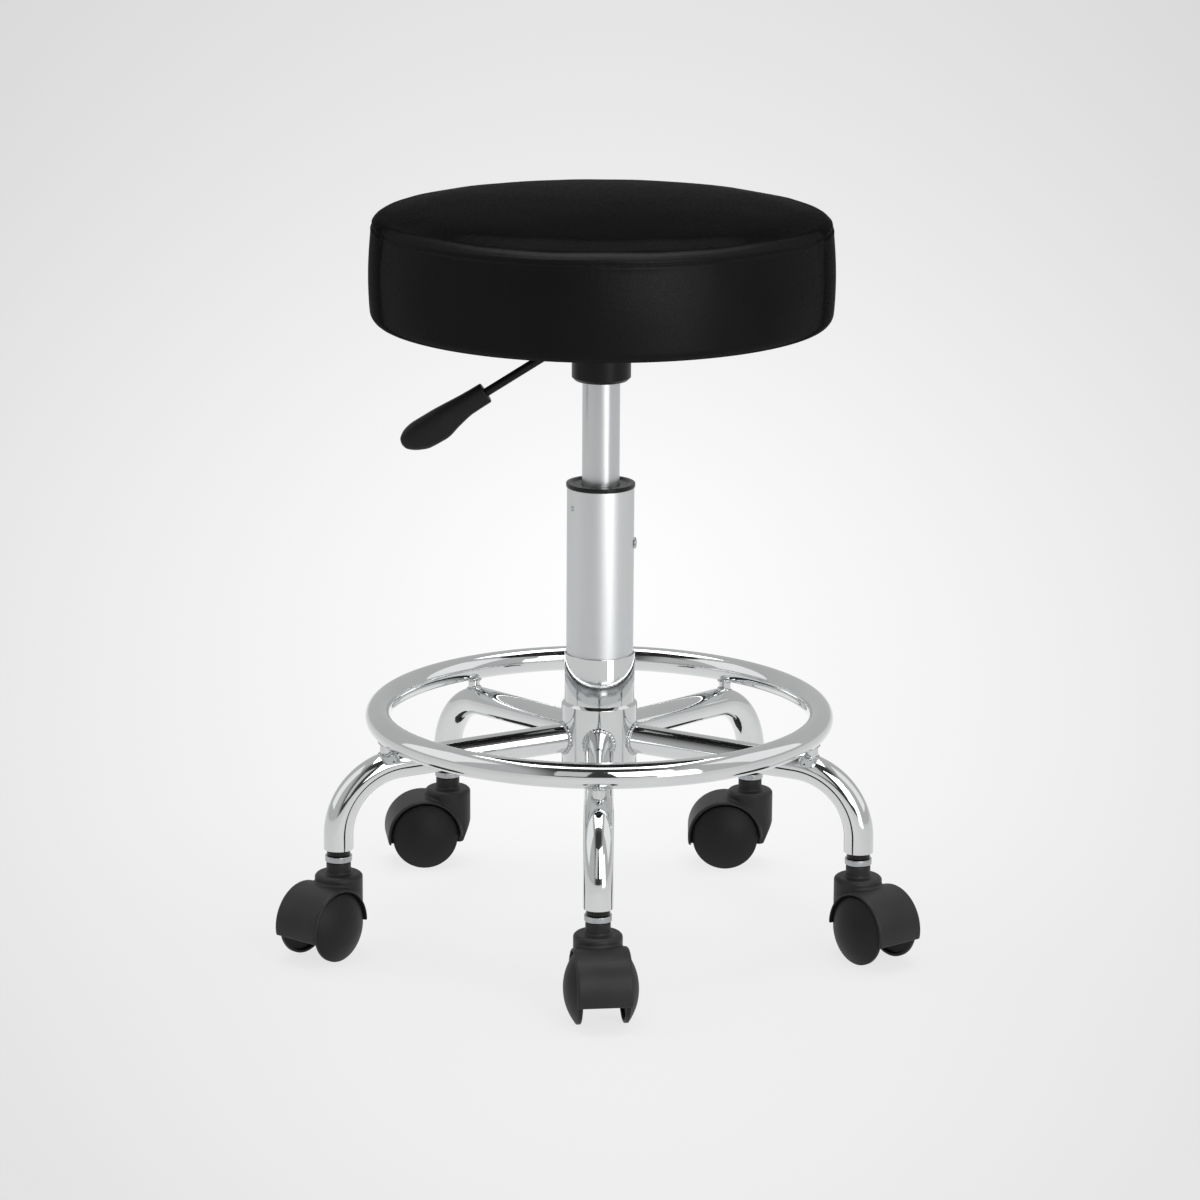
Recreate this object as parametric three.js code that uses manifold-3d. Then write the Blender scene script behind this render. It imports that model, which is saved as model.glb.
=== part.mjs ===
// A height-adjustable rolling stool: a round padded seat on a gas lift, a chromed base of
// five bent tubes with a foot ring, and five twin-wheel casters. Millimetres, +Z up.
// Heights are counted from the floor. The photograph looks along +Y.

import * as THREE from 'three';
import { mergeVertices } from 'three/addons/utils/BufferGeometryUtils.js';
import Module from 'manifold-3d';

const wasm = await Module();
wasm.setup();

// Clearances that fits share
const SLIP = 0.3;
const AXLE_SLIP = 0.25;
const OVERRUN = 5;

// Corners closer than this are one corner
const WELD = 1e-4;

// Facets round the circumference
const SEAT_SIDES = 36;
const COLUMN_SIDES = 24;
const TUBE_SIDES = 10;
const RING_STEPS = 50;
const RING_SIDES = 10;
const WHEEL_SIDES = 20;
const PIN_SIDES = 10;
const HEX_SIDES = 6;
const CORNER_STEPS = 3;
const LEVER_BEND_STEPS = 3;
const COVER_ROUND_STEPS = 3;
const FOAM_ROUND_STEPS = 2;
const BALL_SIDES = 6;
const BALL_STEPS = 4;

// Caster, in its own frame: stem on Z, wheels trailing along +X
const WHEEL_RADIUS = 25.9;
const WHEEL_TREAD = 3;
const WHEEL_DOME = 8.6;
const WHEEL_DOME_SHARES = [0.94, 0.7, 0.38];
const WHEEL_GAP = 31;
const WHEEL_EDGE = 0.8;
const AXLE_RADIUS = 3;
const AXLE_END_WALL = 3;
const CASTER_TRAIL = 19.4;
const HOOD_WIDTH = 41;
const HOOD_WALL = 2;
const HOOD_CLEARANCE = 1.5;
const HOOD_RIM_EDGE = 1.5;
const HOOD_SKIRT_DROP = 6.1;
const WEB_CLEARANCE = 0.6;
const COLLAR_RADIUS = 17.9;
const COLLAR_RISE = 5.8;
const COLLAR_EDGE = 1.6;
const NECK_RADIUS = 9.2;
const NECK_HEIGHT = 9.2;
const HEEL_HEIGHT = 19.8;
const HEEL_SLOPE = 15;
const HEEL_INSET = 7;
const AXLE_BOSS = 4;
const STEM_RADIUS = 5.5;
const STEM_SEAT = 17;
const STEM_FLANGE_RADIUS = 10;
const STEM_FLANGE = 4.6;
const STEM_LENGTH = 22;
const STEM_POINT = 2;

// Base: five legs, their stem sockets, the ring on its posts, and the hub
const LEG_COUNT = 5;
const LEG_CIRCLE = 203.4;
const LEG_RADIUS = 11;
const LEG_WALL = 1.5;
const LEG_RISE = 71.5;
const LEG_SLOPE_DEG = 4;
const BEND_RADIUS = 52;
const BEND_STEPS = 6;
const SOCKET_LIP = 4.2;
const SOCKET_DEPTH = 12;
const RING_RADIUS = 166.8;
const RING_TUBE_RADIUS = 9.5;
const RING_HEIGHT = 167.1;
const POST_RADIUS = 4.5;
const HUB_RADIUS = 28.5;
const HUB_ABOVE_LEG = 28;
const HUB_BELOW_LEG = 32;
const HUB_EDGE = 2;
const SLEEVE_WALL = 0.9;
const SLEEVE_HEIGHT = 37;
const SLEEVE_EDGE = 0.4;

// Gas lift
const COLUMN_RADIUS = 25.1;
const COLUMN_WALL = 2;
const COLUMN_LENGTH = 217.6;
const COLUMN_TAPER = 1.4;
const COLUMN_FLOOR = 4;
const CYLINDER_RADIUS = 14;
const CYLINDER_WALL = 2;
const CYLINDER_LENGTH = 219;
const CYLINDER_TAPER = 0.7;
const VALVE_DEPTH = 20;
const LOWERING = 70;
const BUSHING_FLANGE = 3.2;
const BUSHING_PROUD = 0.7;
const BUSHING_DISH = 1.2;
const BUSHING_RIM = 3;
const BUSHING_LENGTH = 85;
const ROD_RADIUS = 5;
const ROD_END_RADIUS = 4;
const ROD_END_LENGTH = 6;
const ROD_COLLAR_RADIUS = 8;
const ROD_COLLAR = 4;
const PISTON_HEIGHT = 12;
const PISTON_ABOVE_GLAND = 74;
const GLAND_HEIGHT = 18;
const BUFFER_RADIUS = 11;
const BUFFER_HEIGHT = 14;
const RACE_RADIUS = 16;
const RACE_THICKNESS = 2;
const BALL_RADIUS = 2.4;
const BALL_CIRCLE = 11;
const BALL_COUNT = 6;
const CAGE_THICKNESS = 1.6;
const CAGE_BORDER = 1;
const BALL_SLIP = 0.12;
const CLIP_RADIUS = 9;
const CLIP_THICKNESS = 1.6;
const CLIP_GROOVE = 0.8;
const SCREW_RADIUS = 2;
const SCREW_HEAD_RADIUS = 4.5;
const SCREW_HEAD = 1.8;
const SCREW_FACE_SHARE = 0.6;
const SCREW_BELOW_TOP = 43;
const SCREW_LENGTH = 6;

// Release pin and lever; the lever points along -X
const PIN_RADIUS = 3;
const PIN_FLANGE_RADIUS = 5;
const PIN_FLANGE = 2;
const PIN_PROUD = 5.3;
const PIN_PLAY = 0.5;
const LEVER_ROD_RADIUS = 3.25;
const LEVER_TIP_REACH = 3;
const LEVER_LEVEL_RUN = 18.6;
const LEVER_BEND_RADIUS = 8;
const LEVER_DROP_DEG = 32.5;
const LEVER_SLANT_RUN = 100;
const LEVER_PIN_RADIUS = 1.6;
const LEVER_PIN_LENGTH = 22;
const SLOT_PLAY = 2;
const HANDLE_LENGTH = 74;
const HANDLE_GRIP = 26;
const HANDLE_WIDTH = 24;
const HANDLE_THICKNESS = 15;
const HANDLE_SAG = 2;
const HANDLE_SIDES = 14;
const HANDLE_ROUNDNESS = 0.8;

// Seat
const SEAT_RADIUS = 172.5;
const SEAT_SIDE = 79;
const SEAT_CROWN = 9;
const SEAT_DRAW_IN = 1.4;
const SEAT_TOP_ROUND = 11;
const SEAT_BOTTOM_ROUND = 13;
const SEAM_BELOW_TOP = 9;
const SEAM_DEPTH = 0.9;
const SEAM_WIDTH = 2.4;
const COVER_THICKNESS = 1.2;
const COVER_LIP = 25;
const BOARD_THICKNESS = 12;
const BOARD_INSET = 14;
const PLATE_SIZE = 150;
const PLATE_CORNER = 18;
const PLATE_THICKNESS = 2.5;
const SOCKET_RADIUS = 22;
const SOCKET_DROP = 45;
const SOCKET_EDGE = 2.5;
const TAPER_LENGTH = 22;
const CHAMBER_RADIUS = 12;
const BOLT_SPACING = 110;
const BOLT_RADIUS = 3;
const BOLT_HEAD_RADIUS = 5.5;
const BOLT_HEAD = 4;
const BOLT_GRIP = 9;

// Materials
const chrome = new THREE.MeshStandardMaterial({ color: '#d9dadb', roughness: 0.08, metalness: 1 });
const satinSteel = new THREE.MeshStandardMaterial({ color: '#c3c4c6', roughness: 0.28, metalness: 1 });
const plainSteel = new THREE.MeshStandardMaterial({ color: '#9fa1a4', roughness: 0.4, metalness: 1 });
const blackNylon = new THREE.MeshStandardMaterial({ color: '#2b2b2c', roughness: 0.5, metalness: 0 });
const blackSteel = new THREE.MeshStandardMaterial({ color: '#0e0e0f', roughness: 0.45, metalness: 0.3 });
const blackPlastic = new THREE.MeshStandardMaterial({ color: '#101010', roughness: 0.4, metalness: 0 });
const rubber = new THREE.MeshStandardMaterial({ color: '#1b1b1b', roughness: 0.8, metalness: 0 });
const leatherette = new THREE.MeshStandardMaterial({ color: '#0f1010', roughness: 0.45, metalness: 0 });
const foam = new THREE.MeshStandardMaterial({ color: '#e6d9a8', roughness: 0.95, metalness: 0 });
const plywood = new THREE.MeshStandardMaterial({ color: '#242120', roughness: 0.7, metalness: 0 });

const radians = (degrees) => THREE.MathUtils.degToRad(degrees);

// A solid that can be joined and cut, from any closed three.js geometry
function solidOf(geometry) {
  const plain = geometry.clone();
  plain.deleteAttribute('normal');
  plain.deleteAttribute('uv');
  const merged = mergeVertices(plain, WELD);
  const corners = [];
  for (let i = 0; i < merged.index.count; i += 3) {
    const [a, b, c] = [merged.index.getX(i), merged.index.getX(i + 1), merged.index.getX(i + 2)];
    if (a !== b && b !== c && c !== a) corners.push(a, b, c);
  }
  return new wasm.Manifold(new wasm.Mesh({
    numProp: 3,
    vertProperties: new Float32Array(merged.attributes.position.array),
    triVerts: new Uint32Array(corners),
  }));
}

// A cut or joined solid turned back into a three.js geometry
function geometryOf(solid) {
  const mesh = solid.getMesh();
  const geometry = new THREE.BufferGeometry();
  geometry.setAttribute('position', new THREE.BufferAttribute(new Float32Array(mesh.vertProperties), 3));
  geometry.setIndex(new THREE.BufferAttribute(new Uint32Array(mesh.triVerts), 1));
  geometry.computeVertexNormals();
  return geometry;
}

function piece(name, solid, material) {
  const mesh = new THREE.Mesh(geometryOf(solid), material);
  mesh.name = name;
  return mesh;
}

// A profile of [radius, height] points, outside going up first, turned round +Z
function turned(profile, sides) {
  const points = profile.map(([radius, height]) => new THREE.Vector2(radius, height));
  return solidOf(new THREE.LatheGeometry(points, sides).rotateX(Math.PI / 2));
}

function rod(radius, bottom, top, sides) {
  return turned([[0, bottom], [radius, bottom], [radius, top], [0, top]], sides);
}

function ring(inner, outer, bottom, top, sides) {
  return turned([[inner, bottom], [outer, bottom], [outer, top], [inner, top], [inner, bottom]], sides);
}

// An outline in X and Z, given thickness along Y about the XZ plane, its rims bevelled by the edge
function upright(outline, thickness, edge = 0) {
  const shape = new THREE.Shape(outline.map(([x, z]) => new THREE.Vector2(x, z)));
  const geometry = new THREE.ExtrudeGeometry(shape, {
    depth: thickness - 2 * edge,
    bevelEnabled: edge > 0,
    bevelThickness: edge,
    bevelSize: edge,
    bevelOffset: -edge,
    bevelSegments: 1,
  });
  return solidOf(geometry.translate(0, 0, edge - thickness / 2).rotateX(Math.PI / 2));
}

// A flat square block with rounded corners
function roundedSquare(width, corner, bottom, top) {
  const reach = width / 2 - corner;
  const shape = new THREE.Shape();
  shape.absarc(reach, reach, corner, 0, Math.PI / 2);
  shape.absarc(-reach, reach, corner, Math.PI / 2, Math.PI);
  shape.absarc(-reach, -reach, corner, Math.PI, 1.5 * Math.PI);
  shape.absarc(reach, -reach, corner, 1.5 * Math.PI, 2 * Math.PI);
  const geometry = new THREE.ExtrudeGeometry(shape, {
    depth: top - bottom,
    bevelEnabled: false,
    curveSegments: CORNER_STEPS,
  });
  return solidOf(geometry.translate(0, 0, bottom));
}

function box(width, depth, height, x, y, z) {
  return solidOf(new THREE.BoxGeometry(width, depth, height).translate(x, y, z));
}

// A rod lying along Y
function crossRod(radius, length, x, z, sides) {
  return solidOf(new THREE.CylinderGeometry(radius, radius, length, sides).translate(x, 0, z));
}

// Points on an arc in the XZ plane, ends included
function arcPoints(centreX, centreZ, radius, from, to, steps) {
  return Array.from({ length: steps + 1 }, (_, i) => {
    const angle = from + (to - from) * (i / steps);
    return [centreX + radius * Math.cos(angle), centreZ + radius * Math.sin(angle)];
  });
}

// A closed body skinned over loops of corners, one loop after the other, capped at both ends
function skinned(position, loops, sides) {
  const index = [];
  for (let start = 0; start < (loops - 1) * sides; start += sides) {
    for (let k = 0; k < sides; k += 1) {
      const [a, b] = [start + k, start + (k + 1) % sides];
      index.push(a, b, b + sides, a, b + sides, a + sides);
    }
  }
  const last = (loops - 1) * sides;
  for (let k = 1; k < sides - 1; k += 1) {
    index.push(0, k + 1, k, last, last + k, last + k + 1);
  }
  const geometry = new THREE.BufferGeometry();
  geometry.setAttribute('position', new THREE.Float32BufferAttribute(position, 3));
  geometry.setIndex(index);
  return solidOf(geometry);
}

// A round bar along a path of [x, z] points in the XZ plane; each end is square to its run
function swept(path, radius, sides) {
  const section = Array.from({ length: sides }, (_, i) => 2 * Math.PI * (i / sides) - Math.PI / 2);
  const points = path.map(([x, z]) => new THREE.Vector2(x, z));
  const runs = points.slice(1).map((point, i) => point.clone().sub(points[i]).normalize());
  const position = [];
  points.forEach((point, i) => {
    const before = runs[Math.max(i - 1, 0)];
    const after = runs[Math.min(i, runs.length - 1)];
    const along = before.clone().add(after).normalize();
    const stretch = 1 / along.dot(after);
    const across = new THREE.Vector2(along.y, -along.x).multiplyScalar(stretch);
    for (const angle of section) {
      const reach = radius * Math.cos(angle);
      position.push(point.x + across.x * reach, radius * Math.sin(angle), point.y + across.y * reach);
    }
  });
  return skinned(position, points.length, sides);
}

// Heights and places that follow from the driving dimensions
const hoodRadius = WHEEL_RADIUS + HOOD_CLEARANCE + HOOD_WALL;
const collarTop = WHEEL_RADIUS + hoodRadius + COLLAR_RISE;
const neckTop = collarTop + NECK_HEIGHT;
const flangeTop = neckTop + STEM_FLANGE;
const legEnd = flangeTop + SLIP + SOCKET_LIP;
const legHubHeight = legEnd + LEG_RISE;
const hubTop = legHubHeight + HUB_ABOVE_LEG;
const hubBottom = legHubHeight - HUB_BELOW_LEG;
const clipDrop = ROD_END_LENGTH + SLIP;
const columnBottom = hubBottom + clipDrop;
const columnTop = columnBottom + COLUMN_LENGTH;
const columnInner = COLUMN_RADIUS - COLUMN_WALL;
const lowerRaceBottom = columnBottom + COLUMN_FLOOR;
const cageMiddle = lowerRaceBottom + RACE_THICKNESS + BALL_SLIP + BALL_RADIUS;
const upperRaceBottom = cageMiddle + BALL_RADIUS + BALL_SLIP;
const rodCollarBottom = upperRaceBottom + RACE_THICKNESS;
const bufferBottom = rodCollarBottom + ROD_COLLAR;
const bufferTop = bufferBottom + BUFFER_HEIGHT;
const cylinderBottom = bufferTop + LOWERING + SLIP;
const cylinderInner = CYLINDER_RADIUS - CYLINDER_WALL;
const glandTop = cylinderBottom + GLAND_HEIGHT;
const pistonBottom = glandTop + PISTON_ABOVE_GLAND;
const cylinderTop = cylinderBottom + CYLINDER_LENGTH;
const socketBottom = cylinderTop - TAPER_LENGTH;
const seatBottom = socketBottom + SOCKET_DROP;
const boardBottom = seatBottom + COVER_THICKNESS + SLIP;
const plateBottom = boardBottom - PLATE_THICKNESS;
const pinTop = cylinderTop + PIN_PROUD;
const leverHeight = pinTop + PIN_PLAY + LEVER_ROD_RADIUS;
const boreRadius = CYLINDER_RADIUS + SLIP;
const leverPivotX = -(boreRadius + SOCKET_RADIUS) / 2;

// Caster

function casterHood() {
  const axleX = CASTER_TRAIL;
  const axleZ = WHEEL_RADIUS;
  const sweep = Math.asin(HOOD_SKIRT_DROP / hoodRadius);
  const arch = arcPoints(axleX, axleZ, hoodRadius, -sweep, Math.PI, WHEEL_SIDES);
  const webWidth = WHEEL_GAP - 2 * WEB_CLEARANCE;
  const pocketRadius = WHEEL_RADIUS + HOOD_CLEARANCE;
  const pocketDepth = (HOOD_WIDTH - webWidth) / 2 + OVERRUN;
  const pocketY = (webWidth + pocketDepth) / 2;
  const pockets = [1, -1].map((side) => (
    crossRod(pocketRadius, pocketDepth, axleX, axleZ, WHEEL_SIDES).translate([0, side * pocketY, 0])));
  const bossReach = AXLE_RADIUS + AXLE_BOSS;
  const skirtZ = axleZ - HOOD_SKIRT_DROP;
  const innerRadius = hoodRadius - HOOD_WALL;
  const low = Math.asin((HOOD_SKIRT_DROP + OVERRUN) / innerRadius);
  const high = Math.acos(bossReach / innerRadius);
  const frontArc = arcPoints(axleX, axleZ, innerRadius, -low, high, PIN_SIDES);
  const hollowFloor = skirtZ - OVERRUN;
  const hollow = upright([...frontArc, [axleX + bossReach, hollowFloor]], webWidth - 2 * HOOD_WALL);
  const axleBore = crossRod(AXLE_RADIUS + SLIP, HOOD_WIDTH, axleX, axleZ, PIN_SIDES);
  const stemBore = rod(STEM_RADIUS + SLIP, neckTop - STEM_SEAT, neckTop + OVERRUN, PIN_SIDES);
  const outline = [...arch, [axleX - bossReach, skirtZ]];
  const shell = upright(outline, HOOD_WIDTH, HOOD_RIM_EDGE).add(hoodCollar());
  return shell.subtract(pockets[0]).subtract(pockets[1]).subtract(hollow)
    .subtract(axleBore).subtract(stemBore);
}

// The round block over the stem, cut back at its heel, with a neck under the stem's flange
function hoodCollar() {
  const block = turned([
    [0, HEEL_HEIGHT],
    [COLLAR_RADIUS, HEEL_HEIGHT],
    [COLLAR_RADIUS, collarTop - COLLAR_EDGE],
    [COLLAR_RADIUS - COLLAR_EDGE, collarTop],
    [NECK_RADIUS, collarTop],
    [NECK_RADIUS, neckTop],
    [0, neckTop],
  ], WHEEL_SIDES);
  const slopeTop = HEEL_HEIGHT + HEEL_SLOPE;
  const heelCut = upright([
    [-COLLAR_RADIUS - OVERRUN, HEEL_HEIGHT - OVERRUN],
    [HEEL_INSET - COLLAR_RADIUS, HEEL_HEIGHT - OVERRUN],
    [HEEL_INSET - COLLAR_RADIUS, HEEL_HEIGHT],
    [-COLLAR_RADIUS, slopeTop],
    [-COLLAR_RADIUS - OVERRUN, slopeTop],
  ], 2 * COLLAR_RADIUS + OVERRUN);
  return block.subtract(heelCut);
}

function casterStem() {
  const top = legEnd + STEM_LENGTH;
  const foot = neckTop - STEM_SEAT + SLIP;
  return turned([
    [0, foot],
    [STEM_RADIUS, foot],
    [STEM_RADIUS, neckTop],
    [STEM_FLANGE_RADIUS, neckTop],
    [STEM_FLANGE_RADIUS, flangeTop],
    [STEM_RADIUS, flangeTop],
    [STEM_RADIUS, top - STEM_POINT],
    [STEM_RADIUS - STEM_POINT, top],
    [0, top],
  ], PIN_SIDES);
}

// One wheel, its inner face on the XZ plane, its dome towards +Y and a facet on the floor
function casterWheel() {
  const width = WHEEL_TREAD + WHEEL_DOME;
  const boreDepth = width - AXLE_END_WALL;
  const bore = AXLE_RADIUS + AXLE_SLIP;
  const dome = WHEEL_DOME_SHARES.map((share) => (
    [WHEEL_RADIUS * share, WHEEL_TREAD + WHEEL_DOME * (1 - share ** 2)]));
  return turned([
    [0, boreDepth],
    [bore, boreDepth],
    [bore, 0],
    [WHEEL_RADIUS - WHEEL_EDGE, 0],
    [WHEEL_RADIUS, WHEEL_EDGE],
    [WHEEL_RADIUS, WHEEL_TREAD],
    ...dome,
    [0, width],
  ], WHEEL_SIDES).rotate([0, 0, 180 / WHEEL_SIDES]).rotate([-90, 0, 0]);
}

function casterAxle() {
  const reach = WHEEL_GAP / 2 + WHEEL_TREAD + WHEEL_DOME - AXLE_END_WALL - SLIP;
  return crossRod(AXLE_RADIUS, 2 * reach, CASTER_TRAIL, WHEEL_RADIUS, PIN_SIDES);
}

function caster(place) {
  const group = new THREE.Group();
  const wheel = casterWheel();
  const left = wheel.translate([CASTER_TRAIL, WHEEL_GAP / 2, WHEEL_RADIUS]);
  const right = wheel.rotate([0, 0, 180]).translate([CASTER_TRAIL, -WHEEL_GAP / 2, WHEEL_RADIUS]);
  group.add(
    piece(`caster_hood_${place}`, casterHood(), blackNylon),
    piece(`caster_stem_${place}`, casterStem(), plainSteel),
    piece(`caster_axle_${place}`, casterAxle(), plainSteel),
    piece(`wheel_${place}_left`, left, blackNylon),
    piece(`wheel_${place}_right`, right, blackNylon),
  );
  return group;
}

// Base

// The leg's middle line, from inside the hub out and down to its end
function legPath() {
  const slope = radians(LEG_SLOPE_DEG);
  const bendX = LEG_CIRCLE - BEND_RADIUS;
  const bendStartX = bendX + BEND_RADIUS * Math.sin(slope);
  const startX = COLUMN_RADIUS;
  const bendStartZ = legHubHeight - (bendStartX - HUB_RADIUS) * Math.tan(slope);
  const startZ = legHubHeight + (HUB_RADIUS - startX) * Math.tan(slope);
  const centreZ = bendStartZ - BEND_RADIUS * Math.cos(slope);
  const bend = arcPoints(bendX, centreZ, BEND_RADIUS, Math.PI / 2 - slope, 0, BEND_STEPS);
  return [[startX, startZ], ...bend, [LEG_CIRCLE, legEnd]];
}

function lengthened(path, extra) {
  const [first, last] = [path[0], path[path.length - 1]];
  return [[first[0] - extra, first[1]], ...path.slice(1, -1), [last[0], last[1] - extra]];
}

function leg() {
  const path = legPath();
  const bore = swept(lengthened(path, OVERRUN), LEG_RADIUS - LEG_WALL, TUBE_SIDES);
  const hubRoom = rod(HUB_RADIUS + SLIP, 0, hubTop + OVERRUN, COLUMN_SIDES);
  return swept(path, LEG_RADIUS, TUBE_SIDES).subtract(bore).subtract(hubRoom);
}

function stemSocket() {
  const inner = STEM_RADIUS + SLIP;
  const outer = LEG_RADIUS - LEG_WALL - SLIP;
  return ring(inner, outer, legEnd - SOCKET_LIP, legEnd + SOCKET_DEPTH, TUBE_SIDES);
}

// The ring with its posts, which end just clear of the legs they are welded to
function footRing() {
  const section = arcPoints(RING_RADIUS, RING_HEIGHT, RING_TUBE_RADIUS, 0, 2 * Math.PI, RING_SIDES);
  let solid = turned(section, RING_STEPS);
  const path = lengthened(legPath(), OVERRUN);
  const legRoom = swept(path, LEG_RADIUS + SLIP, TUBE_SIDES);
  const post = rod(POST_RADIUS, legEnd, RING_HEIGHT, TUBE_SIDES).translate([RING_RADIUS, 0, 0]);
  const standing = upperPart(post.subtract(legRoom));
  for (const azimuth of legAzimuths) solid = solid.add(standing.rotate([0, 0, azimuth]));
  return solid;
}

// The piece of a cut solid that stands highest
function upperPart(solid) {
  const parts = solid.decompose();
  return parts.reduce((best, part) => (
    part.boundingBox().max[2] > best.boundingBox().max[2] ? part : best));
}

// The hub's socket tapers below its top; above it a thin sleeve stands round the column
function hub() {
  const boreTop = COLUMN_RADIUS + SLIP;
  const boreBottom = boreTop - COLUMN_TAPER;
  const sleeve = boreTop + SLEEVE_WALL;
  const sleeveTop = hubTop + SLEEVE_HEIGHT;
  return turned([
    [boreBottom, hubBottom],
    [HUB_RADIUS - HUB_EDGE, hubBottom],
    [HUB_RADIUS, hubBottom + HUB_EDGE],
    [HUB_RADIUS, hubTop - HUB_EDGE],
    [HUB_RADIUS - HUB_EDGE, hubTop],
    [sleeve, hubTop],
    [sleeve, sleeveTop - SLEEVE_EDGE],
    [sleeve - SLEEVE_EDGE, sleeveTop],
    [boreTop, sleeveTop],
    [boreTop, hubTop],
    [boreBottom, columnBottom],
    [boreBottom, hubBottom],
  ], COLUMN_SIDES);
}

// Gas lift

function columnTube() {
  const bottomRadius = COLUMN_RADIUS - COLUMN_TAPER;
  const boreBottom = columnInner - COLUMN_TAPER;
  const rodHole = ROD_END_RADIUS + SLIP;
  const tube = turned([
    [rodHole, columnBottom],
    [bottomRadius, columnBottom],
    [COLUMN_RADIUS, hubTop],
    [COLUMN_RADIUS, columnTop],
    [columnInner, columnTop],
    [columnInner, hubTop],
    [boreBottom, lowerRaceBottom],
    [rodHole, lowerRaceBottom],
    [rodHole, columnBottom],
  ], COLUMN_SIDES);
  return tube.subtract(screwHole());
}

function screwHole() {
  const start = COLUMN_RADIUS - SCREW_LENGTH - SLIP;
  return atScrew(rod(SCREW_RADIUS + SLIP, start, COLUMN_RADIUS + OVERRUN, PIN_SIDES));
}

// Lays a piece that is made upright on the axis along +X, at the screw's height
function atScrew(solid) {
  return solid.rotate([0, 90, 0]).translate([0, 0, columnTop - SCREW_BELOW_TOP]);
}

function bushingScrew() {
  const from = COLUMN_RADIUS - SCREW_LENGTH;
  const under = COLUMN_RADIUS + SLIP;
  const screw = turned([
    [0, from],
    [SCREW_RADIUS, from],
    [SCREW_RADIUS, under],
    [SCREW_HEAD_RADIUS, under],
    [SCREW_HEAD_RADIUS * SCREW_FACE_SHARE, under + SCREW_HEAD],
    [0, under + SCREW_HEAD],
  ], PIN_SIDES);
  return atScrew(screw);
}

function guideBushing() {
  const bore = CYLINDER_RADIUS + SLIP;
  const sleeve = columnInner - SLIP;
  const flange = COLUMN_RADIUS + BUSHING_PROUD;
  const top = columnTop + BUSHING_FLANGE;
  const body = turned([
    [bore, columnTop - BUSHING_LENGTH],
    [sleeve, columnTop - BUSHING_LENGTH],
    [sleeve, columnTop],
    [flange, columnTop],
    [flange, top],
    [flange - BUSHING_RIM, top],
    [flange - 2 * BUSHING_RIM, top - BUSHING_DISH],
    [bore, top - BUSHING_DISH],
    [bore, columnTop - BUSHING_LENGTH],
  ], COLUMN_SIDES);
  return body.subtract(screwHole());
}

function pistonRod() {
  const clipMiddle = columnBottom - SLIP - CLIP_THICKNESS / 2;
  const groove = ROD_END_RADIUS - CLIP_GROOVE;
  const grooveHalf = CLIP_THICKNESS / 2 + BALL_SLIP;
  return turned([
    [0, columnBottom - ROD_END_LENGTH],
    [ROD_END_RADIUS, columnBottom - ROD_END_LENGTH],
    [ROD_END_RADIUS, clipMiddle - grooveHalf],
    [groove, clipMiddle - grooveHalf],
    [groove, clipMiddle + grooveHalf],
    [ROD_END_RADIUS, clipMiddle + grooveHalf],
    [ROD_END_RADIUS, rodCollarBottom],
    [ROD_COLLAR_RADIUS, rodCollarBottom],
    [ROD_COLLAR_RADIUS, bufferBottom],
    [ROD_RADIUS, bufferBottom],
    [ROD_RADIUS, pistonBottom],
    [cylinderInner - SLIP, pistonBottom],
    [cylinderInner - SLIP, pistonBottom + PISTON_HEIGHT],
    [0, pistonBottom + PISTON_HEIGHT],
  ], COLUMN_SIDES);
}

function rodGland() {
  return ring(ROD_RADIUS + SLIP, cylinderInner - SLIP, cylinderBottom, glandTop, COLUMN_SIDES);
}

function rubberBuffer() {
  return ring(ROD_RADIUS + SLIP, BUFFER_RADIUS, bufferBottom, bufferTop, PIN_SIDES);
}

function race(bottom) {
  return ring(ROD_END_RADIUS + SLIP, RACE_RADIUS, bottom, bottom + RACE_THICKNESS, WHEEL_SIDES);
}

function ballCage() {
  const inner = BALL_CIRCLE - BALL_RADIUS - CAGE_BORDER;
  const outer = BALL_CIRCLE + BALL_RADIUS + CAGE_BORDER;
  const half = CAGE_THICKNESS / 2;
  let solid = ring(inner, outer, cageMiddle - half, cageMiddle + half, WHEEL_SIDES);
  const ball = solidOf(new THREE.SphereGeometry(BALL_RADIUS, BALL_SIDES, BALL_STEPS).rotateX(Math.PI / 2));
  for (let i = 0; i < BALL_COUNT; i += 1) {
    solid = solid.add(ball.translate([BALL_CIRCLE, 0, cageMiddle]).rotate([0, 0, 360 * (i / BALL_COUNT)]));
  }
  return solid;
}

// The clip is pushed on from the side, so its middle is open towards +X
function retainingClip() {
  const top = columnBottom - SLIP;
  const inner = ROD_END_RADIUS - CLIP_GROOVE + BALL_SLIP;
  const mouthLength = CLIP_RADIUS + OVERRUN;
  const mouth = box(mouthLength, 2 * inner, CLIP_THICKNESS + OVERRUN, mouthLength / 2, 0, top);
  return ring(inner, CLIP_RADIUS, top - CLIP_THICKNESS, top, WHEEL_SIDES).subtract(mouth);
}

function liftCylinder() {
  const topRadius = CYLINDER_RADIUS - CYLINDER_TAPER;
  const chamberTop = cylinderTop - VALVE_DEPTH;
  const pinBore = PIN_RADIUS + SLIP;
  return turned([
    [cylinderInner, cylinderBottom],
    [CYLINDER_RADIUS, cylinderBottom],
    [CYLINDER_RADIUS, socketBottom],
    [topRadius, cylinderTop],
    [pinBore, cylinderTop],
    [pinBore, chamberTop],
    [cylinderInner, chamberTop],
    [cylinderInner, cylinderBottom],
  ], COLUMN_SIDES);
}

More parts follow.
